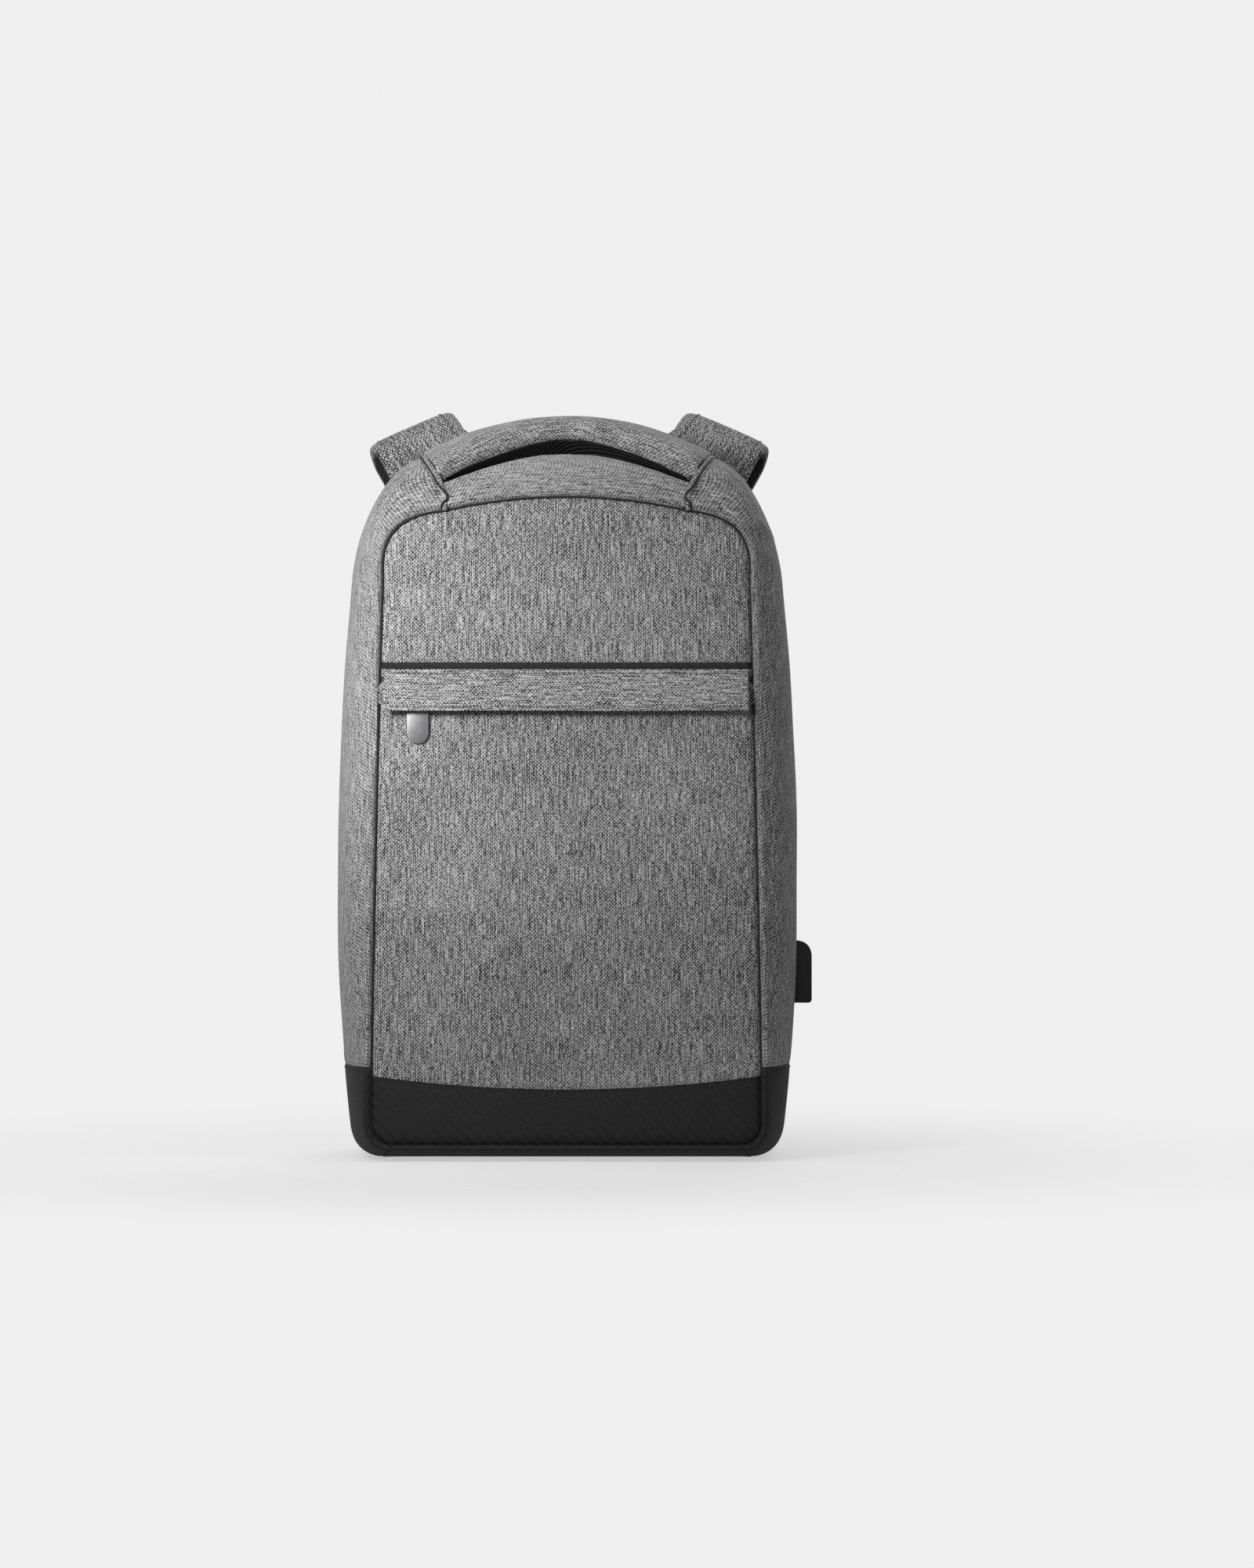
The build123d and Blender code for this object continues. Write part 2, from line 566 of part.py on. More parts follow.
def web_run(points):
    """Flat webbing whose middle line runs through (y, z) points."""
    half = WEB_THICK / 2
    path = [Vector(y, z) for y, z in points]
    sides = ([], [])
    for i, point in enumerate(path):
        before = path[max(i - 1, 0)]
        after = path[min(i + 1, len(path) - 1)]
        along = (after - before).normalized()
        sides[0].append((-WEB_WIDE / 2, point.X - along.Y * half, point.Y + along.X * half))
        sides[1].append((-WEB_WIDE / 2, point.X + along.Y * half, point.Y - along.X * half))
    face = Face(Wire.make_polygon(sides[0] + sides[1][::-1], close=True))
    return Solid.extrude(face, Vector(WEB_WIDE, 0, 0))


def make_chains():
    mid_y = STRAP_FRONT_Y + 2 * FOLD_R - STRAP_THICK / 2
    half = BUCKLE_WIDE / 2
    thick = (mid_y - BUCKLE_THICK / 2, mid_y + BUCKLE_THICK / 2)
    top = -5.0
    frame = block((-half, half), thick, (top - BUCKLE_TALL, top))
    slots = [(top - 9.0, top - 4.0), (top - 17.0, top - 12.0), (top - 25.0, top - 20.0)]
    for slot in slots:
        frame = frame - block((-WEB_WIDE / 2 - 1, WEB_WIDE / 2 + 1), (0, 200), slot)
    node_pair("ladder_lock", place_chain(frame))

    keeper = web_run([(mid_y + 4.2, 0), (mid_y + 4.2, slots[0][0] + 2.5)])
    keeper = keeper + web_run([(mid_y - 4.2, 0), (mid_y - 4.2, slots[0][0] + 2.5)])
    keeper = keeper + block((-WEB_WIDE / 2, WEB_WIDE / 2),
                            (mid_y - 5.0, mid_y + 5.0),
                            (slots[0][0] + 1.7, slots[0][0] + 3.3))
    node_pair("strap_end_loop", place_chain(keeper))

    wing_y = DOOR_OUTER_Y + 1.8
    web = web_run([(mid_y - 4.4, slots[1][1] - 2.0), (mid_y - 6.0, -50.0),
                   (wing_y + 6.0, -88.0), (wing_y, -112.0)])
    tail = web_run([(mid_y + 4.4, slots[1][1] - 2.0), (mid_y + 4.4, -80.0)])
    tail = tail + block((-WEB_WIDE / 2, WEB_WIDE / 2),
                        (mid_y + 3.6, mid_y + 7.0), (-88.0, -80.0))
    weave = block((-WEB_WIDE / 2, WEB_WIDE / 2), (mid_y - 4.4, mid_y + 4.4),
                  (slots[1][0] + 1.5, slots[1][0] + 3.1))
    node_pair("lower_webbing", place_chain(web + weave + tail))
    wing = place_chain(block((-17, 17), (DOOR_OUTER_Y - 5, wing_y - 0.8), (-128, -98)))
    node_pair("wing_tab", wing & above(20) & block(
        (0, 124.0), (DOOR_OUTER_Y, 200), (0, 200)))


make_gussets()
make_front()
make_pockets()
make_front_zip()
make_flap()
make_handle()
make_port()
make_rear_zip()
make_door()
make_straps()
make_chains()

os.makedirs("parts", exist_ok=True)
for name, shape in NODES.items():
    export_step(shape, f"parts/{name}.step")
    print(name, round(shape.volume, 1), len(shape.solids()))
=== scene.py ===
"""A grey city backpack: sewn skins, padding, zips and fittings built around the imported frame.

Shapes are worked out in millimetres in the frame's own axes and turned into metres when a mesh
is made. Every cloth point carries a "weave" attribute: millimetres along and across the yarn.
"""
import math

import bmesh
import bpy
import numpy as np
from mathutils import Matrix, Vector, noise


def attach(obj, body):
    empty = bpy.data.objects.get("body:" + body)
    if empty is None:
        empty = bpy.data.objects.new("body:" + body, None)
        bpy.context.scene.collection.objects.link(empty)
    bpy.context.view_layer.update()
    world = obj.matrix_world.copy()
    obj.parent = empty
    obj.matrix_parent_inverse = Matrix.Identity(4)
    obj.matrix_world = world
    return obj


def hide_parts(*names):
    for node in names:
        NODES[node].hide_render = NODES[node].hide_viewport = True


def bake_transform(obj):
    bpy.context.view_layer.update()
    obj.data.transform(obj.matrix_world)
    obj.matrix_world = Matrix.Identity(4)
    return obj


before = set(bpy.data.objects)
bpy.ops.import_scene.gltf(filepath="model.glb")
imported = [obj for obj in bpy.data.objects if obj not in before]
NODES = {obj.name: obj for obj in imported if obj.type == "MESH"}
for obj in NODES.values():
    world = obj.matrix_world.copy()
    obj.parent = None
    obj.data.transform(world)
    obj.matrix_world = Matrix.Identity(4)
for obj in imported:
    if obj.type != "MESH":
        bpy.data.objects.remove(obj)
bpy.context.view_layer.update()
MM = 0.001

# ---- the shell's driving outlines (half outlines, x and z) ---------------------------------
FRONT_Y, WIDEST_Y, RIM_Y = -65.0, -12.0, 55.0
FRONT = [(104, 9), (114, 12.5), (118, 23), (115, 188), (110.5, 352), (103, 379), (74, 390.5),
         (0, 399)]
WIDEST = [(112, 0), (126, 6), (132, 20), (140, 172), (131, 351), (117, 396), (89, 423), (0, 427)]
RIM = [(110, 0), (124, 6), (131, 22), (131, 178), (131, 335), (115, 391), (82, 414), (0, 420)]
INWARD = [(0, 1), (-0.6, 0.8), (-1, 0), (-1, 0), (-1, -0.1), (-0.85, -0.55), (-0.3, -0.95), (0, -1)]
FRONT, WIDEST, RIM, INWARD = (np.array(k, float) for k in (FRONT, WIDEST, RIM, INWARD))
STRETCH_POINTS = {"floor": 24, "corner": 16, "side": 90, "shoulder": 26, "crown": 40}
BASE_TOP = 57.0
ZIP_Z = 280.0
TRIM = (295.4, 299.2)
GRIP_END = 78.6            # half width of the opening under the handle
GROOVE = 0.5               # how far inside the front outline the seam's bottom runs


# ---- camera, light and floor ---------------------------------------------------------------
def add_camera():
    data = bpy.data.cameras.new("camera")
    data.lens = 113.0
    data.sensor_width = 36.0
    data.clip_end = 60.0
    camera = bpy.data.objects.new("camera", data)
    camera.location = (0.0363, -3.012, 0.2264)
    camera.rotation_euler = (math.radians(90), 0, 0)
    bpy.context.scene.collection.objects.link(camera)
    bpy.context.scene.camera = camera


def add_light(name, place, target, size, power, spread):
    data = bpy.data.lights.new(name, "AREA")
    data.shape = "DISK"
    data.size = size
    data.energy = power
    data.spread = math.radians(spread)
    light = bpy.data.objects.new(name, data)
    light.location = place
    aim = Vector(target) - Vector(place)
    light.rotation_euler = aim.to_track_quat("-Z", "Y").to_euler()
    light.visible_camera = False
    bpy.context.scene.collection.objects.link(light)


# ---- node helpers --------------------------------------------------------------------------
class Graph:
    """Adds linked nodes to one material."""

    def __init__(self, name, values):
        self.material = bpy.data.materials.new(name)
        self.material.use_nodes = True
        self.tree = self.material.node_tree
        self.shader = self.tree.nodes["Principled BSDF"]
        for key, value in values.items():
            self.put(self.shader.inputs[key], value)

    def put(self, socket, value):
        if isinstance(value, bpy.types.NodeSocket):
            self.tree.links.new(value, socket)
        else:
            socket.default_value = value

    def node(self, kind, inputs, output=0, **settings):
        made = self.tree.nodes.new("ShaderNode" + kind)
        for key, value in settings.items():
            setattr(made, key, value)
        for key, value in inputs.items():
            self.put(made.inputs[key], value)
        return made.outputs[output]

    def math(self, operation, a, b=0.0, c=0.0):
        return self.node("Math", {0: a, 1: b, 2: c}, operation=operation)

    def times(self, a, b):
        return self.math("MULTIPLY", a, b)

    def add(self, a, share, b):
        """A share of a, added to b."""
        return self.math("MULTIPLY_ADD", a, share, b)

    def weave(self):
        """The yarn coordinates of the point, in millimetres: along, across."""
        both = self.node("Attribute", {}, "Vector", attribute_name="weave")
        split = self.tree.nodes.new("ShaderNodeSeparateXYZ")
        self.put(split.inputs[0], both)
        return split.outputs[0], split.outputs[1]

    def place(self):
        """The point's place in the object, in metres."""
        return self.node("TexCoord", {}, "Object")

    def stretched(self, along, across, long, wide, detail=1.0):
        """Noise whose cells are long by wide millimetres in yarn coordinates."""
        vector = self.node("CombineXYZ", {0: self.math("DIVIDE", along, long),
                                          1: self.math("DIVIDE", across, wide)})
        return self.node("TexNoise", {"Vector": vector, "Scale": 1.0, "Detail": detail}, 0)

    def cloud(self, size, detail=2.0):
        """Soft noise with cells of that size in metres."""
        return self.node("TexNoise", {"Vector": self.place(), "Scale": 1.0 / size,
                                      "Detail": detail}, 0)

    def wave(self, value, period):
        """sin of a length over a period that both count in millimetres."""
        return self.math("SINE", self.times(value, 2 * math.pi / period))

    def ridge(self, value, period):
        """Rounded ridges, two to each period."""
        return self.math("ABSOLUTE", self.wave(value, period))

    def span(self, value, low, high, start=0.0, end=1.0):
        """Maps values from start to end onto low to high."""
        return self.node("MapRange", {"Value": value, "From Min": start, "From Max": end,
                                      "To Min": low, "To Max": high}, 0)

    def ramp(self, value, stops):
        made = self.tree.nodes.new("ShaderNodeValToRGB")
        self.put(made.inputs[0], value)
        elements = made.color_ramp.elements
        while len(elements) < len(stops):
            elements.new(0.5)
        for element, (place, tone) in zip(elements, stops):
            element.position = place
            element.color = (*(tone if isinstance(tone, tuple) else (tone,) * 3), 1)
        return made.outputs[0]

    def finish(self, color=None, rough=None, height=None, depth=0.0001, strength=1.0):
        if color is not None:
            self.put(self.shader.inputs["Base Color"], color)
        if rough is not None:
            self.put(self.shader.inputs["Roughness"], rough)
        if height is not None:
            bump = self.node("Bump", {"Height": height, "Distance": depth, "Strength": strength},
                             "Normal")
            self.put(self.shader.inputs["Normal"], bump)
        return self.material


def plain_weave(g, along, across, pitch):
    """+1 where the lengthwise yarn is on top, -1 where the crosswise yarn is."""
    return g.times(g.wave(along, 2 * pitch), g.wave(across, 2 * pitch))


def melange():
    """Heather cloth: pale and dark yarns with slubs along the grain."""
    g = Graph("melange_fabric", {"Sheen Weight": 0.12, "Sheen Roughness": 0.5,
                                 "Specular IOR Level": 0.25, "Roughness": 0.9})
    along, across = g.weave()
    over = plain_weave(g, along, across, 1.05)
    warp = g.stretched(along, across, 3.4, 0.44, 1.0)
    slub = g.stretched(along, across, 15.0, 0.62, 1.0)
    weft = g.stretched(along, across, 0.5, 2.4, 1.0)
    on_top = g.span(over, 0.0, 1.0, -0.35, 0.35)
    yarn = g.node("Mix", {0: on_top, 2: weft, 3: warp}, 0)
    shade = g.add(slub, 0.50, g.times(yarn, 0.92))
    shade = g.add(over, 0.11, shade)
    shade = g.add(g.cloud(0.09), 0.12, shade)
    shade = g.add(g.math("ABSOLUTE", over), 0.10, shade)
    color = g.ramp(shade, [(0.61, 0.006), (0.70, 0.030), (0.79, 0.12), (0.90, 0.45)])
    height = g.add(yarn, 0.6, g.math("ABSOLUTE", over))
    return g.finish(color, None, height, 0.00022, 0.8)


def base_cloth(name="base_fabric", low=0.003, high=0.030, pitch=0.8):
    """Black ballistic cloth with a tight basket weave."""
    g = Graph(name, {"Specular IOR Level": 0.35, "Sheen Weight": 0.05})
    along, across = g.weave()
    over = plain_weave(g, along, across, pitch)
    twill = g.wave(g.math("ADD", along, across), 2.7 * pitch)
    top = g.math("ABSOLUTE", g.add(twill, 0.45, g.times(over, 0.6)))
    fibre = g.stretched(along, across, 3.0, 0.25, 2.0)
    worn = g.cloud(0.035, 3.0)
    shade = g.add(worn, 0.25, g.times(top, 0.75))
    shade = g.add(fibre, 0.25, shade)
    color = g.ramp(shade, [(0.42, low), (0.86, high)])
    rough = g.span(worn, 0.50, 0.72)
    return g.finish(color, rough, g.add(fibre, 0.3, top), 0.0004, 0.9)


def tape_cloth(name, low, high, rib=1.3, depth=0.00018):
    """Narrow woven tape: ribs along its length crossed by fine picks."""
    g = Graph(name, {"Specular IOR Level": 0.4})
    along, across = g.weave()
    ribs = g.ridge(across, 2 * rib)
    picks = g.ridge(along, 1.5)
    height = g.times(ribs, g.add(picks, 0.4, 0.6))
    shade = g.add(g.cloud(0.02), 0.4, g.times(height, 0.6))
    color = g.ramp(shade, [(0.15, low), (0.85, high)])
    rough = g.span(height, 0.8, 0.55)
    return g.finish(color, rough, height, depth, 0.9)


def spacer_mesh(name="air_mesh", pitch=3.4, low=0.002, high=0.024):
    """Open spacer mesh: a net of round-edged cells over a darker ground."""
    g = Graph(name, {"Specular IOR Level": 0.3, "Sheen Weight": 0.08})
    along, across = g.weave()
    a = g.math("ADD", along, across)
    b = g.math("SUBTRACT", along, across)
    cells = g.times(g.wave(a, 2 * pitch), g.wave(b, 2 * pitch))
    net = g.math("SUBTRACT", 1.0, g.math("POWER", g.math("ABSOLUTE", cells), 0.7))
    knit = g.ridge(along, 0.9)
    height = g.add(knit, 0.12, net)
    shade = g.add(g.cloud(0.05), 0.2, height)
    color = g.ramp(shade, [(0.2, low), (0.75, 0.5 * high), (1.0, high)])
    return g.finish(color, g.ramp(net, [(0.0, 0.9), (1.0, 0.62)]), height, 0.0007, 0.9)


def ribbed_mesh():
    """The handle's black lining: plump diagonal ribs of knitted mesh."""
    g = Graph("handle_mesh_rib", {"Specular IOR Level": 0.3})
    along, across = g.weave()
    slant = g.add(along, 0.55, across)
    rib = g.ridge(slant, 6.4)
    knit = g.ridge(g.math("SUBTRACT", along, across), 1.3)
    height = g.add(knit, 0.15, rib)
    color = g.ramp(height, [(0.2, 0.0015), (0.8, 0.010), (1.1, 0.022)])
    rough = g.span(knit, 0.85, 0.65)
    return g.finish(color, rough, height, 0.0009, 0.9)


def thread(name, low, high):
    """Sewing thread with a tight twist."""
    g = Graph(name, {"Specular IOR Level": 0.45})
    along, across = g.weave()
    twist = g.ridge(g.math("ADD", along, across), 0.8)
    color = g.ramp(g.add(g.cloud(0.01), 0.4, twist), [(0.2, low), (1.2, high)])
    rough = g.span(twist, 0.7, 0.45)
    return g.finish(color, rough, twist, 0.00006, 0.8)


def moulded(name, tone, rough_span, grain=0.0009, depth=0.00003):
    """Moulded plastic with a fine spark-eroded grain and rubbed high spots."""
    g = Graph(name, {"Specular IOR Level": 0.45})
    fine = g.cloud(grain, 3.0)
    rubbed = g.cloud(0.012, 3.0)
    color = g.ramp(g.add(fine, 0.3, rubbed), [(0.35, 0.75 * tone), (0.9, 1.5 * tone)])
    rough = g.span(rubbed, *rough_span, 0.3, 0.7)
    return g.finish(color, rough, fine, depth, 0.7)


def metal(name, tone, rough_span, axis="Z"):
    """Satin metal, brushed along one axis, with faint handling marks."""
    g = Graph(name, {"Metallic": 1.0})
    squeeze = {"X": (60, 4000, 4000), "Z": (4000, 4000, 60)}[axis]
    vector = g.node("VectorMath", {0: g.place(), 1: squeeze}, operation="MULTIPLY")
    brush = g.node("TexNoise", {"Vector": vector, "Scale": 1.0, "Detail": 2.0}, 0)
    marks = g.cloud(0.004, 4.0)
    shade = g.add(brush, 0.5, g.times(marks, 0.5))
    dark = tuple(0.72 * c for c in tone)
    color = g.ramp(shade, [(0.3, dark), (0.65, tone)])
    rough = g.span(shade, *rough_span, 0.3, 0.7)
    return g.finish(color, rough, brush, 0.00001, 0.5)


def lining_cloth():
    """Thin slate taffeta with a fine ripstop grid."""
    g = Graph("lining", {"Specular IOR Level": 0.4, "Sheen Weight": 0.1})
    along, across = g.weave()
    over = g.math("ABSOLUTE", plain_weave(g, along, across, 0.4))
    lines = [g.math("POWER", g.ridge(v, 11.0), 0.12) for v in (along, across)]
    grid = g.times(lines[0], lines[1])
    shade = g.add(g.cloud(0.04), 0.4, g.times(grid, 0.6))
    color = g.ramp(shade, [(0.2, 0.10), (0.9, 0.055)])
    rough = g.span(over, 0.62, 0.45)
    return g.finish(color, rough, g.add(over, 0.4, grid), 0.0001, 0.7)


def board():
    """Black foam board with a pebbled skin."""
    g = Graph("stiffener", {"Specular IOR Level": 0.3})
    cells = g.node("TexVoronoi", {"Vector": g.place(), "Scale": 700.0}, 0)
    color = g.ramp(g.add(g.cloud(0.03), 0.5, cells), [(0.3, 0.012), (1.0, 0.03)])
    rough = g.span(cells, 0.6, 0.85)
    return g.finish(color, rough, cells, 0.00015, 0.6)


MATERIALS = {
    "melange_fabric": melange(),
    "base_fabric": base_cloth("base_fabric", 0.0010, 0.028, 0.95),
    "back_fabric": base_cloth("back_fabric", 0.006, 0.034, 0.9),
    "air_mesh": spacer_mesh(),
    "handle_mesh": ribbed_mesh(),
    # piping: its dark tone also serves as painted shade where cords lie in the front seam and
    # beside the handle's seam ridges
    "piping": tape_cloth("piping", 0.004, 0.016, 0.6, 0.00012),
    "zip_tape": tape_cloth("zip_tape", 0.007, 0.022, 0.5, 0.0001),
    "webbing": tape_cloth("webbing", 0.008, 0.030, 1.0, 0.00035),
    "lining": lining_cloth(),
    "stiffener": board(),
    "zip_coil": moulded("zip_coil", 0.016, (0.28, 0.4), 0.0006, 0.00001),
    "black_plastic": moulded("black_plastic", 0.014, (0.38, 0.55)),
    "socket_plastic": moulded("socket_plastic", 0.02, (0.3, 0.42)),
    "zip_metal": metal("zip_metal", (0.16, 0.16, 0.165), (0.28, 0.42), "X"),
    "puller_metal": metal("puller_metal", (0.25, 0.25, 0.26), (0.42, 0.55)),
    "socket_metal": metal("socket_metal", (0.62, 0.62, 0.64), (0.22, 0.34), "X"),
    "contact_gold": metal("contact_gold", (0.85, 0.60, 0.25), (0.18, 0.3), "X"),
    "grey_thread": thread("grey_thread", 0.03, 0.09),
    "black_thread": thread("black_thread", 0.006, 0.022),
}


# ---- curves and grids ----------------------------------------------------------------------
SIDES = ((1, "right"), (-1, "left"))


def joined(*parts):
    """Points from their coordinates, each an array or one number for all of them."""
    return np.stack(np.broadcast_arrays(*parts), -1)


def unit(vectors):
    return vectors / np.maximum(np.linalg.norm(vectors, axis=-1, keepdims=True), 1e-9)


def flip(flat):
    """The mirror image of flat points on the pack's other side."""
    return flat * (-1, 1)


def facing(grid, direction):
    """The same direction at every point of a grid."""
    return np.zeros_like(grid) + direction


def smooth(x):
    """An even step from 0 to 1 with soft ends."""
    x = np.clip(x, 0.0, 1.0)
    return x * x * (3 - 2 * x)


def bend(start, middle, end, count):
    """Points of the curve from start to end through middle, without the last."""
    t = np.linspace(0, 1, count, endpoint=False)[:, None]
    handle = 2 * middle - (start + end) / 2
    return (1 - t) ** 2 * start + 2 * t * (1 - t) * handle + t ** 2 * end


def half_outline(keys, inset=0.0):
    """Right half of an outline, from the middle of the floor to the middle of the crown."""
    k = keys + INWARD * inset
    n = STRETCH_POINTS
    floor = np.linspace((0, k[0][1]), k[0], n["floor"], endpoint=False)
    crown = bend(k[6], k[7], flip(k[6]), 2 * n["crown"])[:n["crown"] + 1]
    return np.concatenate([floor, bend(k[0], k[1], k[2], n["corner"]),
                           bend(k[2], k[3], k[4], n["side"]),
                           bend(k[4], k[5], k[6], n["shoulder"]), crown])


FLOOR_END = STRETCH_POINTS["floor"]
CORNER_MID = FLOOR_END + STRETCH_POINTS["corner"] // 2
SHOULDER_MID = (FLOOR_END + STRETCH_POINTS["corner"] + STRETCH_POINTS["side"]
                + STRETCH_POINTS["shoulder"] // 2)


def arc_length(points):
    steps = np.linalg.norm(np.diff(points, axis=0), axis=1)
    return np.concatenate([[0.0], np.cumsum(steps)])


def sample(points, places):
    """Points at these arc lengths along a run of points."""
    run = arc_length(points)
    return np.stack([np.interp(places, run, points[:, i]) for i in range(points.shape[1])], 1)


def stretch(points, start, end, shares):
    """Points between two arc lengths, at shares from 0 to 1."""
    return sample(points, start + (end - start) * np.asarray(shares))


def length_at_z(points, z, first=CORNER_MID):
    """Arc length where the side of a half outline passes a height."""
    side = slice(first, SHOULDER_MID)
    return float(np.interp(z, points[side, 1], arc_length(points)[side]))


def length_at_top_x(points, x):
    """Arc length where the shoulder or crown of a half outline passes an x."""
    run = arc_length(points)
    top = slice(SHOULDER_MID - 10, None)
    return float(np.interp(-x, -points[top, 0], run[top]))


def shares_with_edges(length, middle, near=(0.0, 0.5, 1.2, 2.2, 3.6, 5.5, 8.0)):
    """Shares from 0 to 1, close together within a few millimetres of both ends."""
    near = np.array(near) / length
    inner = np.linspace(near[-1], 1 - near[-1], middle)[1:-1]
    return np.concatenate([near, inner, 1 - near[::-1]])


def grid_normals(grid, outward):
    """Unit normals of a grid of points, turned to the outward direction's side."""
    n = unit(np.cross(np.gradient(grid, axis=0), np.gradient(grid, axis=1)))
    return n if (n * outward).sum() > 0 else -n


def grid_lengths(grid):
    """Arc length along the rows (axis 0) and along the columns (axis 1) at each point."""
    down = np.stack([arc_length(grid[:, j]) for j in range(grid.shape[1])], 1)
    over = np.stack([arc_length(grid[i]) for i in range(grid.shape[0])], 0)
    return down, over


def border_distance(grid):
    """Distance from each point to the nearest edge of its grid, along the grid."""
    down, over = grid_lengths(grid)
    return np.minimum(np.minimum(down, down[-1] - down), np.minimum(over, over[:, -1:] - over))


def ripple(points, size, seed=0.0):
    """Smooth noise from about -1 to 1 at each point, with waves of that size in millimetres."""
    flat = points.reshape(-1, 3) / size + seed
    return np.array([noise.noise(Vector(p)) for p in flat]).reshape(points.shape[:-1])


# ---- meshes --------------------------------------------------------------------------------
def make_piece(name, verts, faces, weave, materials, face_material=None, sharp=50.0):
    """A mesh object from millimetre points, with its yarn coordinates and finishes."""
    mesh = bpy.data.meshes.new(name)
    mesh.from_pydata((np.asarray(verts) * MM).tolist(), [], faces)
    for m in materials:
        mesh.materials.append(MATERIALS[m])
    if face_material is not None:
        mesh.polygons.foreach_set("material_index", face_material)
    values = np.zeros((len(mesh.vertices), 3), np.float32)
    values[:, :2] = weave
    layer = mesh.attributes.new("weave", "FLOAT_VECTOR", "POINT")
    layer.data.foreach_set("vector", values.ravel())
    tidy(mesh, sharp)
    piece = bpy.data.objects.new(name, mesh)
    bpy.context.scene.collection.objects.link(piece)
    return piece


def tidy(mesh, sharp):
    """Outward normals, smooth faces and crisp edges above an angle."""
    bm = bmesh.new()
    bm.from_mesh(mesh)
    bmesh.ops.recalc_face_normals(bm, faces=bm.faces)
    for face in bm.faces:
        face.smooth = True
    limit = math.radians(sharp)
    for edge in bm.edges:
        edge.smooth = len(edge.link_faces) == 2 and edge.calc_face_angle(0.0) < limit
    bm.to_mesh(mesh)
    bm.free()


def slab(name, outer, inner, weave, materials, sharp=50.0):
    """A closed piece between two matching grids; a second material goes on the inner side."""
    rows, cols = outer.shape[:2]
    total = rows * cols
    index = np.arange(total).reshape(rows, cols)
    cells = joined(index[:-1, :-1], index[:-1, 1:], index[1:, 1:], index[1:, :-1]).reshape(-1, 4)
    rim = np.concatenate([index[0], index[1:, -1], index[-1, -2::-1], index[-2:0:-1, 0]])
    after = np.roll(rim, -1)
    walls = joined(rim, rim + total, after + total, after)
    faces = np.concatenate([cells, cells[:, ::-1] + total, walls])
    slots = [0] * len(cells) + [len(materials) - 1] * len(cells) + [0] * len(walls)
    verts = np.concatenate([outer.reshape(-1, 3), inner.reshape(-1, 3)])
    both = np.concatenate([weave.reshape(-1, 2)] * 2)
    return make_piece(name, verts, faces.tolist(), both, materials, slots, sharp)


def skin(name, grid, outward, thick, weave, materials, sharp=50.0):
    """A sewn skin: the grid is its outer face."""
    n = grid_normals(grid, outward)
    return slab(name, grid, grid - n * thick, weave, materials, sharp)


def soft_slab(name, middle, half, radius, outward, weave, materials, crown=0.0):
    """A soft sheet with rounded edges about a middle grid; crown makes its outer face swell."""
    n = grid_normals(middle, outward)
    d = border_distance(middle)
    round_off = np.sqrt(np.maximum(1 - (1 - np.clip(d / radius, 0, 1)) ** 2, 0.03))
    thick = (half * round_off)[..., None]
    swell = (crown * (1 - np.exp(-d / (3 * radius))))[..., None]
    return slab(name, middle + n * (thick + swell), middle - n * thick, weave, materials)


def tube(name, rings, weave, materials, sharp=60.0, closed=False):
    """A skin over rings of points; its ends are capped unless it closes on itself."""
    rows, cols = rings.shape[:2]
    index = np.arange(rows * cols).reshape(rows, cols)
    ahead = np.roll(index, -1, axis=1)
    if closed:
        low, high = index, np.roll(index, -1, axis=0)
        low_next, high_next = ahead, np.roll(ahead, -1, axis=0)
    else:
        low, high, low_next, high_next = index[:-1], index[1:], ahead[:-1], ahead[1:]
    faces = joined(low, low_next, high_next, high).reshape(-1, 4).tolist()
    if not closed:
        faces += [index[0].tolist(), index[-1].tolist()]
    return make_piece(name, rings.reshape(-1, 3), faces, weave.reshape(-1, 2), materials,
                      sharp=sharp)


def rope_rings(path, up, wide, high, count):
    """Elliptical rings along a path whose upper side faces up, and their yarn coordinates."""
    tangent = unit(np.gradient(path, axis=0))
    sideways = unit(np.cross(np.broadcast_to(np.asarray(up, float), path.shape), tangent))
    upward = np.cross(tangent, sideways)
    angle = np.linspace(0, 2 * math.pi, count, endpoint=False)
    rings = (path[:, None] + sideways[:, None] * (wide * np.cos(angle))[None, :, None]
             + upward[:, None] * (high * np.sin(angle))[None, :, None])
    return rings, joined(arc_length(path)[:, None], angle * (wide + high) / 2)


def place_piece(piece, body, slot, *nodes, padded=None):
    """Rides a finished piece on its body and hides the imported nodes it stands for."""
    if nodes:
        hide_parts(*nodes)
    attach(piece, body)
    return piece


def piping(name, path, up, wide, high, count, body, *nodes, closed=False):
    """A covered cord or bound edge that follows a path; in the front seam and beside the handle's
    seam ridges its dark tone is painted shade.
    """
    rings, weave = rope_rings(path, up, wide, high, count)
    cord = tube(name, rings, weave, ["piping"], closed=closed)
    return place_piece(cord, body, "piping", *nodes)


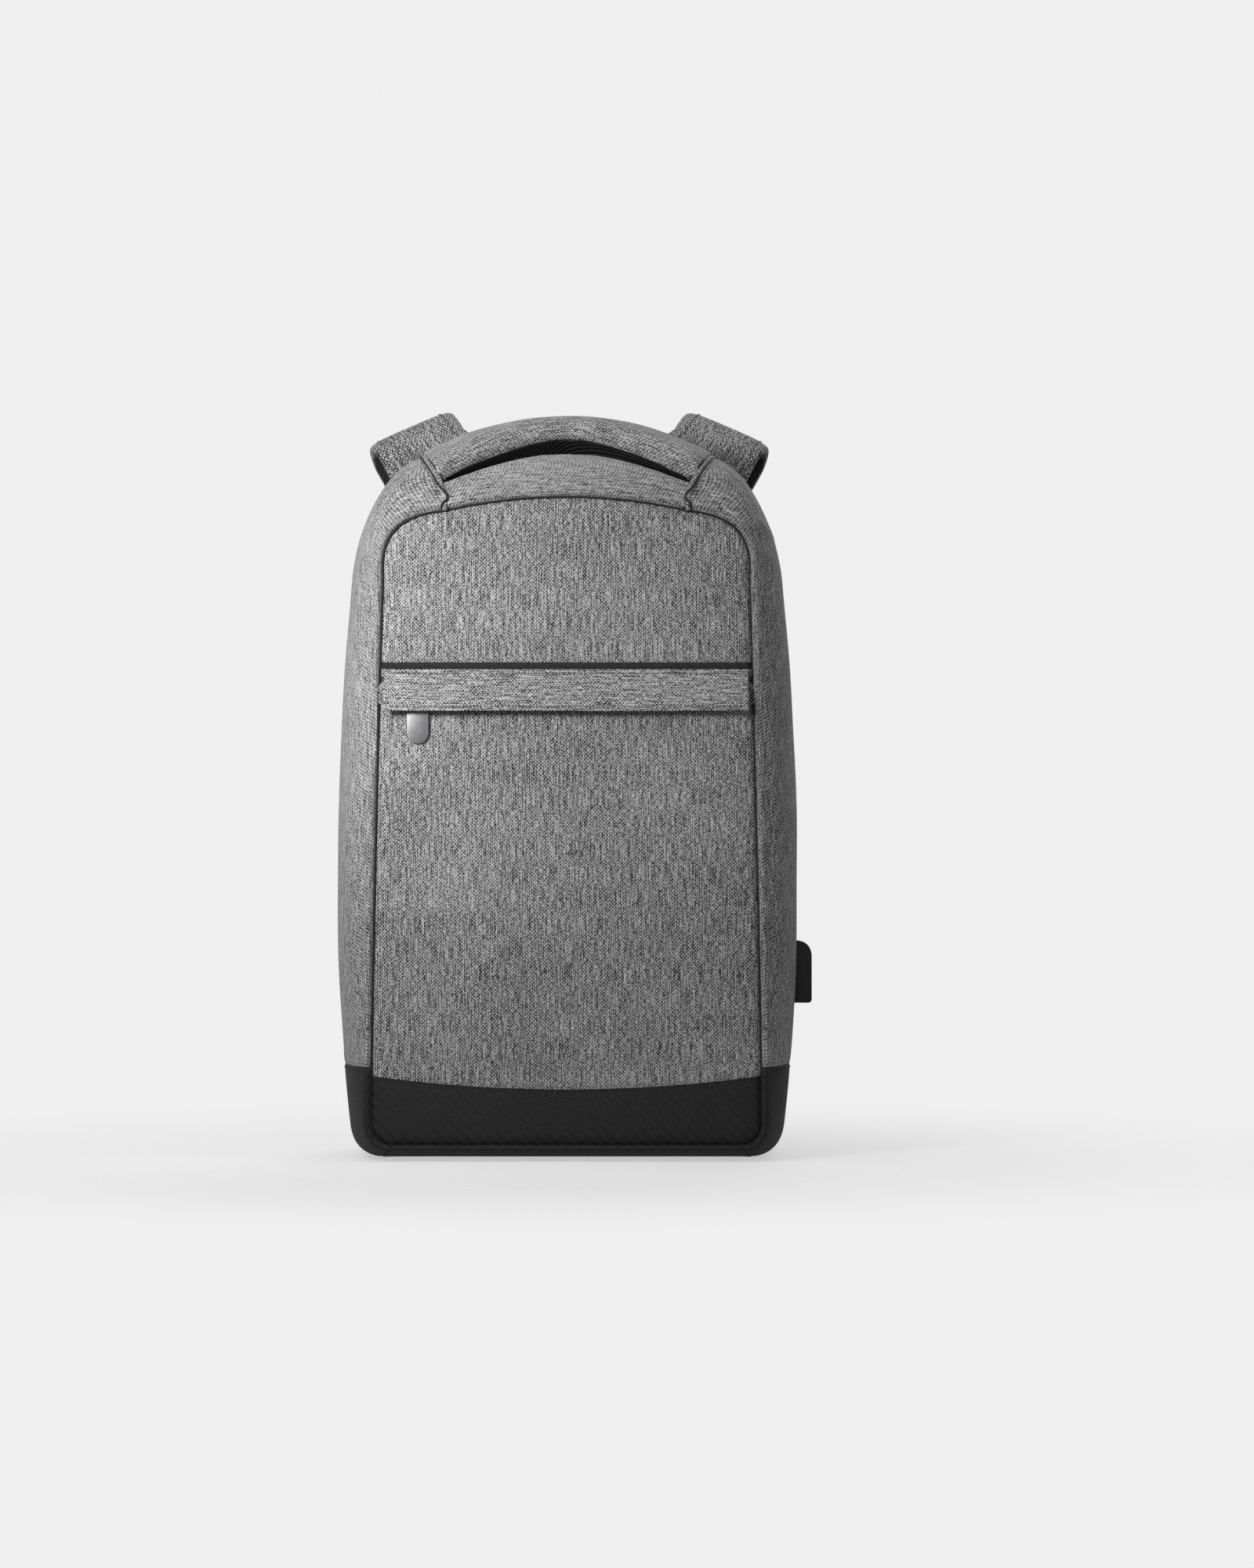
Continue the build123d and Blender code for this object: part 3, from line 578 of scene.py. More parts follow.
class Stitches:
    """Rows of single thread stitches that become one piece."""
    RINGS, AROUND = 4, 6

    def __init__(self):
        self.verts, self.faces, self.weave, self.total = [], [], [], 0

    def row(self, path, normals, pitch=3.3, long=2.5, wide=0.42, lift=0.12):
        """Stitches along a path that lies on a surface with these normals."""
        run = arc_length(path)
        count = max(int(run[-1] / pitch), 1)
        places = (np.arange(count) + 0.5) * run[-1] / count
        centres = sample(path, places)
        ahead = sample(path, np.minimum(places + 0.5, run[-1]))
        behind = sample(path, np.maximum(places - 0.5, 0))
        normal = np.stack([np.interp(places, run, normals[:, i]) for i in range(3)], 1)
        tangent = unit(ahead - behind)
        sideways = unit(np.cross(normal, tangent))
        for c, t, n, s in zip(centres, tangent, normal, sideways):
            self.stitch(c + n * lift, t * long / 2, s * wide, n * wide * 0.8)

    def stitch(self, centre, along, sideways, upward):
        base = self.total
        self.verts.append(centre - along)
        self.weave.append((0, 0))
        for i in range(self.RINGS):
            share = (i + 0.5) / self.RINGS
            fat = math.sin(math.pi * share) ** 0.5
            for j in range(self.AROUND):
                a = 2 * math.pi * j / self.AROUND
                self.verts.append(centre + along * (2 * share - 1)
                                  + (sideways * math.cos(a) + upward * math.sin(a)) * fat)
                self.weave.append((share * 2.5, a * 0.2))
        self.verts.append(centre + along)
        self.weave.append((2.5, 0))
        around = self.AROUND
        last = base + 1 + self.RINGS * around
        for j in range(around):
            k = (j + 1) % around
            self.faces.append((base, base + 1 + k, base + 1 + j))
            for i in range(self.RINGS - 1):
                a = base + 1 + i * around
                self.faces.append((a + j, a + k, a + around + k, a + around + j))
            a = last - around
            self.faces.append((a + j, a + k, last))
        self.total = last + 1

    def build(self, name, body, material="grey_thread"):
        piece = make_piece(name, np.array(self.verts), self.faces, np.array(self.weave),
                           [material], sharp=180)
        slot = "melange_fabric" if material == "grey_thread" else "base_fabric"
        return place_piece(piece, body, slot)


# ---- the tub's shell -----------------------------------------------------------------------
FRONT_SHARES = [0.07, 0.11, 0.15, 0.20, 0.26, 0.33, 0.42, 0.52, 0.63, 0.72, 0.80, 0.86, 0.91,
                0.945, 0.97, 0.987, 1.0]
REAR_SHARES = [0.12, 0.26, 0.4, 0.55, 0.7, 0.82, 0.92, 0.97, 1.0]
LIP = [(GROOVE + 0.05, -62.6), (GROOVE - 0.05, -63.5), (0.25, -64.5), (0.0, -65.4), (-0.4, -66.2)]


ROLL = 2.7                 # how far the gusset's edge stands proud of the front seam
PRESSED_Z = 262.0          # height beside the zip where that edge is pressed flat
SKIN = 0.9                 # thickness of the shell's cloth
CREASE_START = (88.5, 400.0)      # x and z on the right shoulder
CREASE_WAY = (0.832, -0.555)
SWELL_X, SWELL_Z = 96.0, 382.0    # where each shoulder begins to stand out


def seam_x(y):
    """Where the seam between side and top gussets runs, at each depth."""
    return np.interp(y, (-65.0, -57.6, -47.5, -36.6, -12.0), (73.0, 76.4, 81.0, 84.6, 88.0))


def front_depth(share):
    """Depth of the bulging front half at a share of the way out to the widest outline."""
    return FRONT_Y + (WIDEST_Y - FRONT_Y) * (1 - math.sqrt(1 - share * share))


def shell_stations():
    """Half outlines in space, from the bottom of the front seam back to the rear rim."""
    front, wide, rear = half_outline(FRONT), half_outline(WIDEST), half_outline(RIM)
    stations = []
    for inset, y in LIP:
        edge = half_outline(FRONT, inset)
        stations.append(joined(edge[:, 0], y, edge[:, 1]))
    reach = np.linalg.norm(wide - front, axis=1)
    for q in FRONT_SHARES:
        flat = front + (wide - front) * q
        out = q * reach
        pressed = 0.8 * np.exp(-((flat[:, 1] - PRESSED_Z) / 24.0) ** 4)
        y = front_depth(q) - ROLL * (1 - pressed) * np.exp(-((out - 2.9) / 3.3) ** 2)
        stations.append(joined(flat[:, 0], y, flat[:, 1]))
    for s in REAR_SHARES:
        flat = wide + (rear - wide) * s * s
        y = WIDEST_Y + (RIM_Y - WIDEST_Y) * s
        stations.append(joined(flat[:, 0], y, flat[:, 1]))
    return stations


STATIONS = shell_stations()


def shell_patch(start, end, shares):
    """Grid of the right half of the shell between two borders, and its yarn coordinates."""
    rows, along = [], []
    for station in STATIONS:
        flat = station[:, [0, 2]]
        y = float(np.median(station[:, 1]))
        a, b = start(flat, y), end(flat, y)
        run = arc_length(flat)
        places = a + (b - a) * np.asarray(shares)
        rows.append(np.stack([np.interp(places, run, station[:, i]) for i in range(3)], 1))
        along.append(places)
    grid = np.stack(rows)
    across, _ = grid_lengths(grid)
    return grid, joined(np.stack(along), across)


def soften(grid, outward, border=0.6, waves=0.7, pucker=0.55, seed=0.0):
    """Seams pull in, the front seam puckers and the cloth lies in slow waves.

    The shoulders stand out a little, and a short crease crosses the right one.
    """
    n = grid_normals(grid, outward)
    down, over = grid_lengths(grid)
    edge = np.minimum(over, over[:, -1:] - over)
    calm = smooth(border_distance(grid) / 14.0)
    rear = smooth((down[-1] - down) / 10.0)
    move = -border * np.exp(-edge / 1.6) * smooth(down / 5.0)
    move = move + waves * calm * ripple(grid, 58.0, seed)
    gather = ripple(grid, 13.0, seed + 5.0) * np.exp(-((down - 9.0) / 6.0) ** 2)
    x, y, z = grid[..., 0], grid[..., 1], grid[..., 2]
    right, above = x - CREASE_START[0], z - CREASE_START[1]
    fold = -CREASE_WAY[1] * right + CREASE_WAY[0] * above
    run = CREASE_WAY[0] * right + CREASE_WAY[1] * above
    crease = 1.8 * np.exp(-(fold / 3.0) ** 2) - 2.2 * np.exp(-((fold + 6.0) / 3.6) ** 2)
    crease = crease * smooth((run + 4.0) / 10.0) * smooth((48.0 - run) / 16.0)
    move = move + crease * smooth(down / 8.0) * smooth((30.0 - y) / 12.0)
    shoulder = np.exp(-((np.abs(x) - SWELL_X) / 20.0) ** 2) * smooth((z - SWELL_Z) / 30.0)
    move = move + 2.4 * shoulder * smooth(down / 26.0) * smooth((48.0 - y) / 30.0)
    move = (move + pucker * 2.0 * gather * calm) * rear
    return grid + n * move[..., None]


def crest(x):
    """Height of the gusset's edge where it dips away under the handle."""
    return 429.0 - 23.8 * (np.minimum(np.abs(x), 88.0) / GRIP_END) ** 1.45


def grip_front(x):
    """Depth and height of the grip's front edge: it comes forward and down at both ends."""
    share = np.minimum(np.abs(x) / GRIP_END, 1.0)
    return -14.0 - 43.0 * share ** 1.6, 435.8 - 28.8 * share ** 1.56


def under_handle(grid, below):
    """Presses the crown down between the seams and under the handle, where a hand goes."""
    x, y, z = grid[..., 0], grid[..., 1], grid[..., 2]
    start, _ = grip_front(x)
    behind = smooth((y - start - 4.0) / 9.0)
    ease = smooth((seam_x(y) - np.abs(x)) / 3.2) * smooth((52.0 - y) / 16.0) * (z > 350.0)
    cap = crest(x) - below * behind
    over = np.maximum(z - cap + 1.5, 0.0)
    lowered = grid.copy()
    lowered[..., 2] = z - ease * (over - 1.5 * (1 - np.exp(-over / 1.5)))
    return lowered


def outward_of(grid):
    """Directions away from the middle of the pack."""
    return grid - np.array([0.0, 0.0, 200.0])


def make_shell():
    """Side gussets, top gusset, base sides and bottom panel, each a sewn skin."""
    grids = {}

    def base_line(flat, y):
        return length_at_z(flat, BASE_TOP)

    def corner_start(flat, y):
        return arc_length(flat)[FLOOR_END]

    def seam(flat, y):
        return length_at_top_x(flat, seam_x(y))

    def crown(flat, y):
        return arc_length(flat)[-1]

    def middle(flat, y):
        return 0.0

    def sew(key, name, grid, weave, material, node):
        piece = skin(name, grid, outward_of(grid), SKIN, weave, [material])
        place_piece(piece, "tub", material, node)
        grids[key] = grid

    def sew_pair(patch, key, name, material, node, seed, **cloth):
        right, weave = patch
        for sign, side in SIDES:
            grid = right * (sign, 1, 1)
            grid = soften(grid, outward_of(grid), seed=seed * sign, **cloth)
            sew(key + side, f"{name}_{side}", grid, weave, material, f"{node}_{side}")

    def whole(start, end, length, cells):
        """Grid and lengthwise yarn of a patch that runs across the middle plane."""
        shares = shares_with_edges(length, cells)[:-8].tolist() + [1.0]
        half, weave = shell_patch(start, end, shares)
        return np.concatenate([half, half[:, -2::-1] * (-1, 1, 1)], 1), weave

    sew_pair(shell_patch(base_line, seam, shares_with_edges(390, 96)), "", "gusset_skin",
             "melange_fabric", "gusset", 3.0)

    grid, weave = whole(seam, crown, 92, 24)
    run = weave[:, -1:, 0] * 2 - weave[:, -2::-1, 0]
    weave = np.concatenate([weave, joined(run, weave[:, -2::-1, 1])], 1)
    grid = under_handle(soften(grid, outward_of(grid), seed=9.0), 4.5)
    sew("top", "top_gusset_skin", grid, weave, "melange_fabric", "top_gusset")

    sew_pair(shell_patch(corner_start, base_line, shares_with_edges(62, 16)), "base_",
             "base_skin", "base_fabric", "base_side", 21.0, waves=0.4, pucker=0.25)

    grid, weave = whole(corner_start, middle, 110, 16)
    weave = np.concatenate([weave, flip(weave[:, -2::-1])], 1)
    grid[..., 2] += 0.25 * (1 - np.exp(-border_distance(grid) / 3.0))
    sew("floor", "bottom_skin", grid, weave, "base_fabric", "bottom_panel")
    return grids


SHELL = make_shell()


# ---- front panels --------------------------------------------------------------------------
FRONT_LINE = half_outline(FRONT)
FRONT_LOOP = np.concatenate([FRONT_LINE, flip(FRONT_LINE)[::-1]])
PANEL_LINE = half_outline(FRONT, GROOVE)
PANEL_Y = -62.5            # depth of the front panels at their seams
FRONT_SIDE_X = 114.0       # half width of the front at the base's top edge
TO_THE_FRONT, TO_THE_BACK = (0.0, -1.0, 0.0), (0.0, 1.0, 0.0)


def base_arc(x):
    """Height of the base's arched top edge on the front."""
    return 44.0 + 10.0 * (x / 130.0) ** 2


def level_at(line, x):
    """Height at x of a line that is one height or a function of x."""
    return line(x) if callable(line) else line + 0 * x


def loop_distance(points, loop):
    """Distance from each flat point to a closed run of points."""
    flat = points.reshape(-1, 1, 2)
    a, b = loop[:-1], loop[1:]
    keep = np.linalg.norm(b - a, axis=1) > 1e-6
    a, b = a[keep], b[keep]
    ab = b - a
    t = np.clip(((flat - a) * ab).sum(2) / (ab ** 2).sum(1), 0, 1)
    return np.linalg.norm(flat - (a + ab * t[..., None]), axis=2).min(1).reshape(
        points.shape[:-1])


def coons(low, high, left, right, u, v):
    """A grid that fills four borders; low and high run left to right, left and right upwards."""
    low, high, left, right = (stretch(line, 0, arc_length(line)[-1], shares)
                              for line, shares in ((low, u), (high, u), (left, v), (right, v)))
    u, v = u[None, :, None], v[:, None, None]
    ruled = (1 - v) * low[None] + v * high[None] + (1 - u) * left[:, None] + u * right[:, None]
    corners = ((1 - u) * (1 - v) * low[0] + u * (1 - v) * low[-1]
               + (1 - u) * v * high[0] + u * v * high[-1])
    return ruled - corners


def panel_between(low_z, high_z, u, v):
    """Flat grid of the front between two lines; None stands for the outline itself."""
    run = arc_length(PANEL_LINE)
    even = np.linspace(0, 1, 120)
    low_end = (run[CORNER_MID] if low_z is None
               else length_at_z(PANEL_LINE, level_at(low_z, FRONT_SIDE_X)))
    high_end = (run[SHOULDER_MID] if high_z is None
                else length_at_z(PANEL_LINE, level_at(high_z, FRONT_SIDE_X)))
    right = stretch(PANEL_LINE, low_end, high_end, even)

    def across(limit, start, end, side_x):
        if limit is None:
            part = stretch(PANEL_LINE, start, end, even)
            return np.concatenate([flip(part)[::-1], part[1:]])
        x = np.linspace(-side_x, side_x, 120)
        return joined(x, level_at(limit, x))

    return coons(across(low_z, 0, low_end, right[0, 0]),
                 across(high_z, run[-1], high_end, right[-1, 0]), flip(right), right, u, v)


def front_panel(name, low_z, high_z, tall, pillow, material, node, dips=(), face_y=0.0,
                borders=(), fine_rows=40):
    """A front panel that swells between its seams; dips are (height line, depth, width)."""
    u = shares_with_edges(228, 60)
    v = shares_with_edges(tall, fine_rows)
    flat = panel_between(low_z, high_z, u, v)
    x, z = flat[..., 0], flat[..., 1]
    inside = np.maximum(loop_distance(flat, FRONT_LOOP) - GROOVE, 0)
    grow = 1 - np.exp(-inside / 28.0)
    y = PANEL_Y - ROLL * (1 - np.exp(-inside / 2.5))
    y = y - face_y * (1 - np.exp(-inside / 1.5)) - pillow(x, z) * grow
    wave = ripple(joined(x, y, z), 46.0, 31.0)
    y = y - 0.45 * wave * np.minimum(pillow(x, z), 1.0) * grow
    for line, depth, width in dips:
        y = y + depth * np.exp(-((z - level_at(line, x)) / width) ** 2)
    for line, depth in borders:
        y = y + depth * np.exp(-np.abs(z - level_at(line, x)) / 1.2)
    points = joined(x, y, z)
    piece = slab(name, points, points + TO_THE_BACK, joined(z, x), [material, "lining"])
    place_piece(piece, "tub", material, node)
    return points


def line_on(points, line, inset=6.0):
    """Points and normals on a front panel along a height line."""
    x = np.linspace(-112, 112, 180)
    z = level_at(line, x)
    flat = points.reshape(-1, 3)
    keep = loop_distance(joined(x, z), FRONT_LOOP) > inset
    x, z = x[keep], z[keep]
    far = (flat[None, :, 0] - x[:, None]) ** 2 + (flat[None, :, 2] - z[:, None]) ** 2
    path = joined(x, flat[far.argmin(1), 1], z)
    return path, facing(path, TO_THE_FRONT)


def make_front():
    """The front's panels, their topstitching and the dark seam cord round them, which carries
    painted shade of the seam's crease.
    """
    def broad(low, high, amount):
        return lambda x, z: amount * smooth((z - low) / 25.0) * smooth((high - z) / 45.0)

    seam_stitch = 2.6
    front_panel("upper_panel", TRIM[1], None, 100,
                lambda x, z: 1.6 * smooth((z - 299) / 26.0), "melange_fabric", "front_panel",
                borders=[(TRIM[1], 0.5)])
    front_panel("zip_facing_cloth", ZIP_Z + 3, TRIM[0], 12.4, lambda x, z: 0 * x,
                "melange_fabric", "zip_facing", fine_rows=6)
    front_panel("pocket_cloth", base_arc, ZIP_Z - 3, 229, broad(50, 268, 1.7),
                "melange_fabric", "pocket_face", borders=[(base_arc, 0.45), (ZIP_Z - 3, 0.3)],
                fine_rows=64)
    base = front_panel("base_front_cloth", None, base_arc, 40,
                       lambda x, z: 0.8 * smooth((z - 9) / 12.0) + 0 * x,
                       "base_fabric", "front_base_panel",
                       dips=[(lambda x: base_arc(x) - seam_stitch, 0.3, 0.7)],
                       borders=[(base_arc, -0.1)], fine_rows=22)
    front_panel("trim_band", TRIM[0], TRIM[1], 3.8, lambda x, z: 0 * x, "base_fabric",
                "trim_strip", face_y=1.0, borders=[(TRIM[0], 0.4), (TRIM[1], 0.4)],
                fine_rows=4)

    rows = Stitches()
    path, normals = line_on(base, lambda x: base_arc(x) - seam_stitch)
    rows.row(path, normals)
    for _, side in SIDES:
        grid = SHELL["base_" + side]
        n = grid_normals(grid, outward_of(grid))
        _, over = grid_lengths(grid)
        column = int(np.argmin(np.abs((over[8, -1] - over[8]) - seam_stitch)))
        rows.row(grid[7:-3, column], n[7:-3, column])
    rows.build("base_topstitch", "tub", "black_thread")

    # The cord in the seam's groove is a seam cord made dark as painted shade of the crease between
    # gusset and panel.
    loop = np.concatenate([PANEL_LINE, flip(PANEL_LINE)[-2:0:-1], PANEL_LINE[:1]])
    even = sample(loop, np.linspace(0, arc_length(loop)[-1], 520)[:-1])
    piping("front_seam_cord_painted_shade", joined(even[:, 0], -64.0, even[:, 1]), TO_THE_FRONT, 0.75, 0.75,
           8, "tub", "front_piping", closed=True)


make_front()


# ---- flap ----------------------------------------------------------------------------------
def make_flap():
    """The weather flap: a doubled strip of cloth that stands out over the zip."""
    u = shares_with_edges(218, 70, (0.0, 0.3, 0.8, 1.6, 3.0, 5.0))
    v = shares_with_edges(25.5, 18, (0.0, 0.3, 0.7, 1.2, 1.8, 2.4, 3.0))
    x, down = -109 + 218 * u[None, :] + 0 * v[:, None], v[:, None] + 0 * u[None, :]
    y = -66.75 - 6.3 * down ** 1.15 - 0.55 * ripple(joined(x, 0, 0), 52.0, 2.0) * down
    z = 294.6 - 24.6 * down + 0.25 * ripple(joined(x, 0, 0), 70.0, 7.0) * down
    middle = joined(x, y, z)
    outward = facing(middle, TO_THE_FRONT)
    normal = grid_normals(middle, outward)
    length = 25.5 * down
    stitch_lines = (2.3, 23.0)
    for level in stitch_lines:
        middle = middle - normal * (0.28 * np.exp(-((length - level) / 0.7) ** 2))[..., None]
    piece = soft_slab("flap_cloth", middle, 0.75, 1.1, outward, joined(x, z),
                      ["melange_fabric"])
    place_piece(piece, "flap", "melange_fabric", "pocket_flap")
    rows = Stitches()
    for level in stitch_lines:
        row = int(np.argmin(np.abs(length[:, 0] - level)))
        rows.row(middle[row, 4:-4] + normal[row, 4:-4] * 0.72, normal[row, 4:-4])
    rows.build("flap_topstitch", "flap")


make_flap()


# ---- haul handle ---------------------------------------------------------------------------
GRIP_Y = 12.0              # depth of the grip's highest line


def handle_top(x):
    """Height of the grip's top along its arch."""
    return 452.0 - 23.6 * (x / 90.0) ** 2


def make_handle():
    """A padded grip whose wide ends run down into the seams, lined with ribbed mesh."""
    u = np.sin(np.linspace(-math.pi / 2, math.pi / 2, 71))[:, None]
    t = np.linspace(0, 1, 44)[None, :]
    angle = t * math.pi
    x = u * seam_x(GRIP_Y - 69.0 * np.cos(np.minimum(angle, math.pi / 2)))
    front_y, front_z = grip_front(x)
    back_z = 433.0 - 12.0 * (x / 90.0) ** 2
    round_off = 0.62 + 0.38 * np.abs(u) ** 3
    reach = np.sign(np.cos(angle)) * np.abs(np.cos(angle)) ** round_off
    rise = np.abs(np.sin(angle)) ** round_off
    y = np.where(reach > 0, GRIP_Y - (GRIP_Y - front_y) * reach,
                 GRIP_Y - (37.0 - GRIP_Y) * reach)
    foot = np.where(reach > 0, front_z, back_z)
    z = foot + (handle_top(x) - foot) * rise
    outer = joined(x, y, z)
    away = outer - joined(x, GRIP_Y, 405.0)
    outer = outer + grid_normals(outer, away) * (0.4 * ripple(outer, 30.0, 4.0))[..., None]
    half = 3.0 * (1 - np.abs(u) ** 4) + 0.7 + 0 * t
    n = grid_normals(outer, away)
    weave = joined(x, grid_lengths(outer)[1])
    grip = soft_slab("handle_grip", outer - n * half[..., None], half, 3.2, away, weave,
                     ["melange_fabric"])
    place_piece(grip, "tub", "melange_fabric", "handle_cover", padded=0.8)

    v = np.linspace(0, 1, 26)[None, :]
    x = 0.985 * u * (GRIP_END + 8.0 * smooth(v * 2.0))
    front_y, front_z = grip_front(x)
    y = front_y + 2.2 + (33.0 - front_y - 2.2) * v
    hidden = crest(x) - 1.2
    z = front_z + 1.0 + (hidden - front_z - 1.0) * smooth((y - front_y - 1.0) / 19.0)
    z = z + 6.0 * smooth((y - 22.0) / 14.0)
    belly = joined(x, y, z)
    lining = soft_slab("handle_lining", belly, 0.8, 1.2, facing(belly, (0, 0, -1)),
                       joined(x, y), ["handle_mesh"])
    place_piece(lining, "tub", "air_mesh", "handle_mesh", padded=0.5)

    rows = Stitches()
    for _, side in SIDES:
        grid = SHELL[side]
        n = grid_normals(grid, outward_of(grid))
        keep = grid[:, -1, 1] < 37
        path = grid[keep, -1] + n[keep, -1] * 0.5
        path = sample(path, np.linspace(3.4, arc_length(path)[-1], 60))
        wobble = 0.2 * ripple(path, 14.0, 6.0)[:, None]
        path = path + wobble * (1, 0, 0)
        outward = np.stack([np.interp(np.linspace(0, 1, 60), np.linspace(0, 1, keep.sum()),
                                      n[keep, -1][:, i]) for i in range(3)], 1)
        rings, weave = rope_rings(path, outward, 1.7, 1.5, 12)
        swell = 1 + 0.12 * ripple(path, 7.0, 8.0)[:, None, None]
        rings = path[:, None] + (rings - path[:, None]) * swell
        ridge = tube(f"handle_seam_{side}", rings, weave[..., ::-1], ["melange_fabric"])
        place_piece(ridge, "tub", "melange_fabric", f"handle_tab_{side}")
        sideways = unit(np.cross(outward, np.gradient(path, axis=0)))
        # Two thin dark cords at the foot of each ridge are painted shadow: they stand for the
        # shaded gaps beside the ridge.
        for step, edge in ((2.1, "outer"), (-2.1, "inner")):
            piping(f"handle_seam_{side}_{edge}", path + sideways * step - outward * 0.35, outward,
                   0.55, 0.75, 8, "tub", f"handle_tab_{side}")
            rows.row(path[6:-2] + sideways[6:-2] * 1.9 * step + outward[6:-2] * 0.05,
                     outward[6:-2], lift=-0.1)
    rows.build("handle_seam_stitches", "tub")


make_handle()


# ---- copies of hard fittings with softened edges -------------------------------------------
def softened(node, name, width, body, material, segments=2, angle=28.0):
    """A fitting's own shape with its edges rounded off."""
    bm = bmesh.new()
    bm.from_mesh(NODES[node].data)
    bmesh.ops.remove_doubles(bm, verts=bm.verts, dist=2e-6)
    bmesh.ops.dissolve_limit(bm, angle_limit=math.radians(1.5), verts=bm.verts, edges=bm.edges)
    sharp = [e for e in bm.edges if len(e.link_faces) == 2
             and e.calc_face_angle(0) > math.radians(angle)]
    bmesh.ops.bevel(bm, geom=sharp, offset=width * MM, segments=segments, profile=0.5,
                    affect="EDGES", clamp_overlap=True)
    bmesh.ops.recalc_face_normals(bm, faces=bm.faces)
    for face in bm.faces:
        face.smooth = True
    for edge in bm.edges:
        edge.smooth = len(edge.link_faces) == 2 and edge.calc_face_angle(0) < math.radians(35)
    mesh = bpy.data.meshes.new(name)
    bm.to_mesh(mesh)
    bm.free()
    mesh.materials.append(MATERIALS[material])
    piece = bpy.data.objects.new(name, mesh)
    bpy.context.scene.collection.objects.link(piece)
    return place_piece(piece, body, material, node)


def make_fittings():
    """Pullers, sliders, the charging hood and the ladder locks."""
    softened("front_puller", "front_pull_tongue", 0.32, "front_zip_puller", "puller_metal", 3)
    softened("front_slider", "front_slide_body", 0.22, "front_zip_slider", "zip_metal")
    softened("rear_puller", "rear_pull_tab", 0.25, "rear_zip_puller", "zip_metal")
    softened("rear_slider", "rear_slide_body", 0.2, "rear_zip_slider", "zip_metal")
    softened("usb_housing", "charging_hood", 0.9, "tub", "black_plastic", 3, 40)
    for _, side in SIDES:
        softened(f"ladder_lock_{side}", f"ladder_lock_body_{side}", 0.9, "back_door",
                 "black_plastic", 3)


make_fittings()


# ---- zips ----------------------------------------------------------------------------------
def coil_piece(name, path, side_dir, face_dir, side_r, face_r, pitch, phase, body, node):
    """A nylon coil: one wire wound in an oval helix along a path."""
    run = arc_length(path)[-1]
    per_turn = 7
    places = np.linspace(0, run, int(run / pitch * per_turn))
    centre = sample(path, places)
    shares = np.linspace(0, 1, len(path))
    at = np.interp(places, arc_length(path), shares)
    side = np.stack([np.interp(at, shares, side_dir[:, i]) for i in range(3)], 1)
    face = np.stack([np.interp(at, shares, face_dir[:, i]) for i in range(3)], 1)
    angle = 2 * math.pi * (places / pitch) + phase
    wire = centre + side * (side_r * np.cos(angle))[:, None] + face * (
        face_r * np.sin(angle))[:, None]
    rings, weave = rope_rings(wire, unit(np.gradient(centre, axis=0)), 0.36, 0.36, 4)
    piece = tube(name, rings, weave, ["zip_coil"], sharp=180)
    return place_piece(piece, body, "zip_coil", node)


def ring_path(inset, y, low):
    """An open run round the rear outline above a height, from right to left."""
    half = half_outline(RIM, inset)
    start, end = length_at_z(half, low, FLOOR_END), arc_length(half)[-1]
    part = sample(half, np.linspace(start, end, int((end - start) / 2.5)))
    full = np.concatenate([part, flip(part)[-2::-1]])
    return joined(full[:, 0], y, full[:, 1])


def outline_band(name, outer, inner, y0, y1, low, material, body, node, bulge=0.0):
    """A band that follows the rear outline between two insets and two depths."""
    a, b = ring_path(outer, y0, low), ring_path(inner, y0, low)
    b = sample(b, np.linspace(0, arc_length(b)[-1], len(a)))
    depth = np.linspace(0, 1, 7)
    curve = np.sin(math.pi * depth) * bulge
    centre = np.array([0.0, y0, 200.0])
    away = unit(a - centre)
    shift = joined(0, (y1 - y0) * depth, 0)[:, None]
    outer_grid, inner_grid = a + shift + away * curve[:, None, None], b + shift
    weave = joined(arc_length(a)[None], outer_grid[..., 1])
    piece = slab(name, outer_grid, inner_grid, weave, [material])
    return place_piece(piece, body, material, *([node] if node else []))


def front_strip(name, grid, half, radius, weave, material, *nodes):
    """A soft strip that lies against the front."""
    piece = soft_slab(name, grid, half, radius, facing(grid, TO_THE_FRONT), weave, [material])
    place_piece(piece, "tub", material, *nodes)


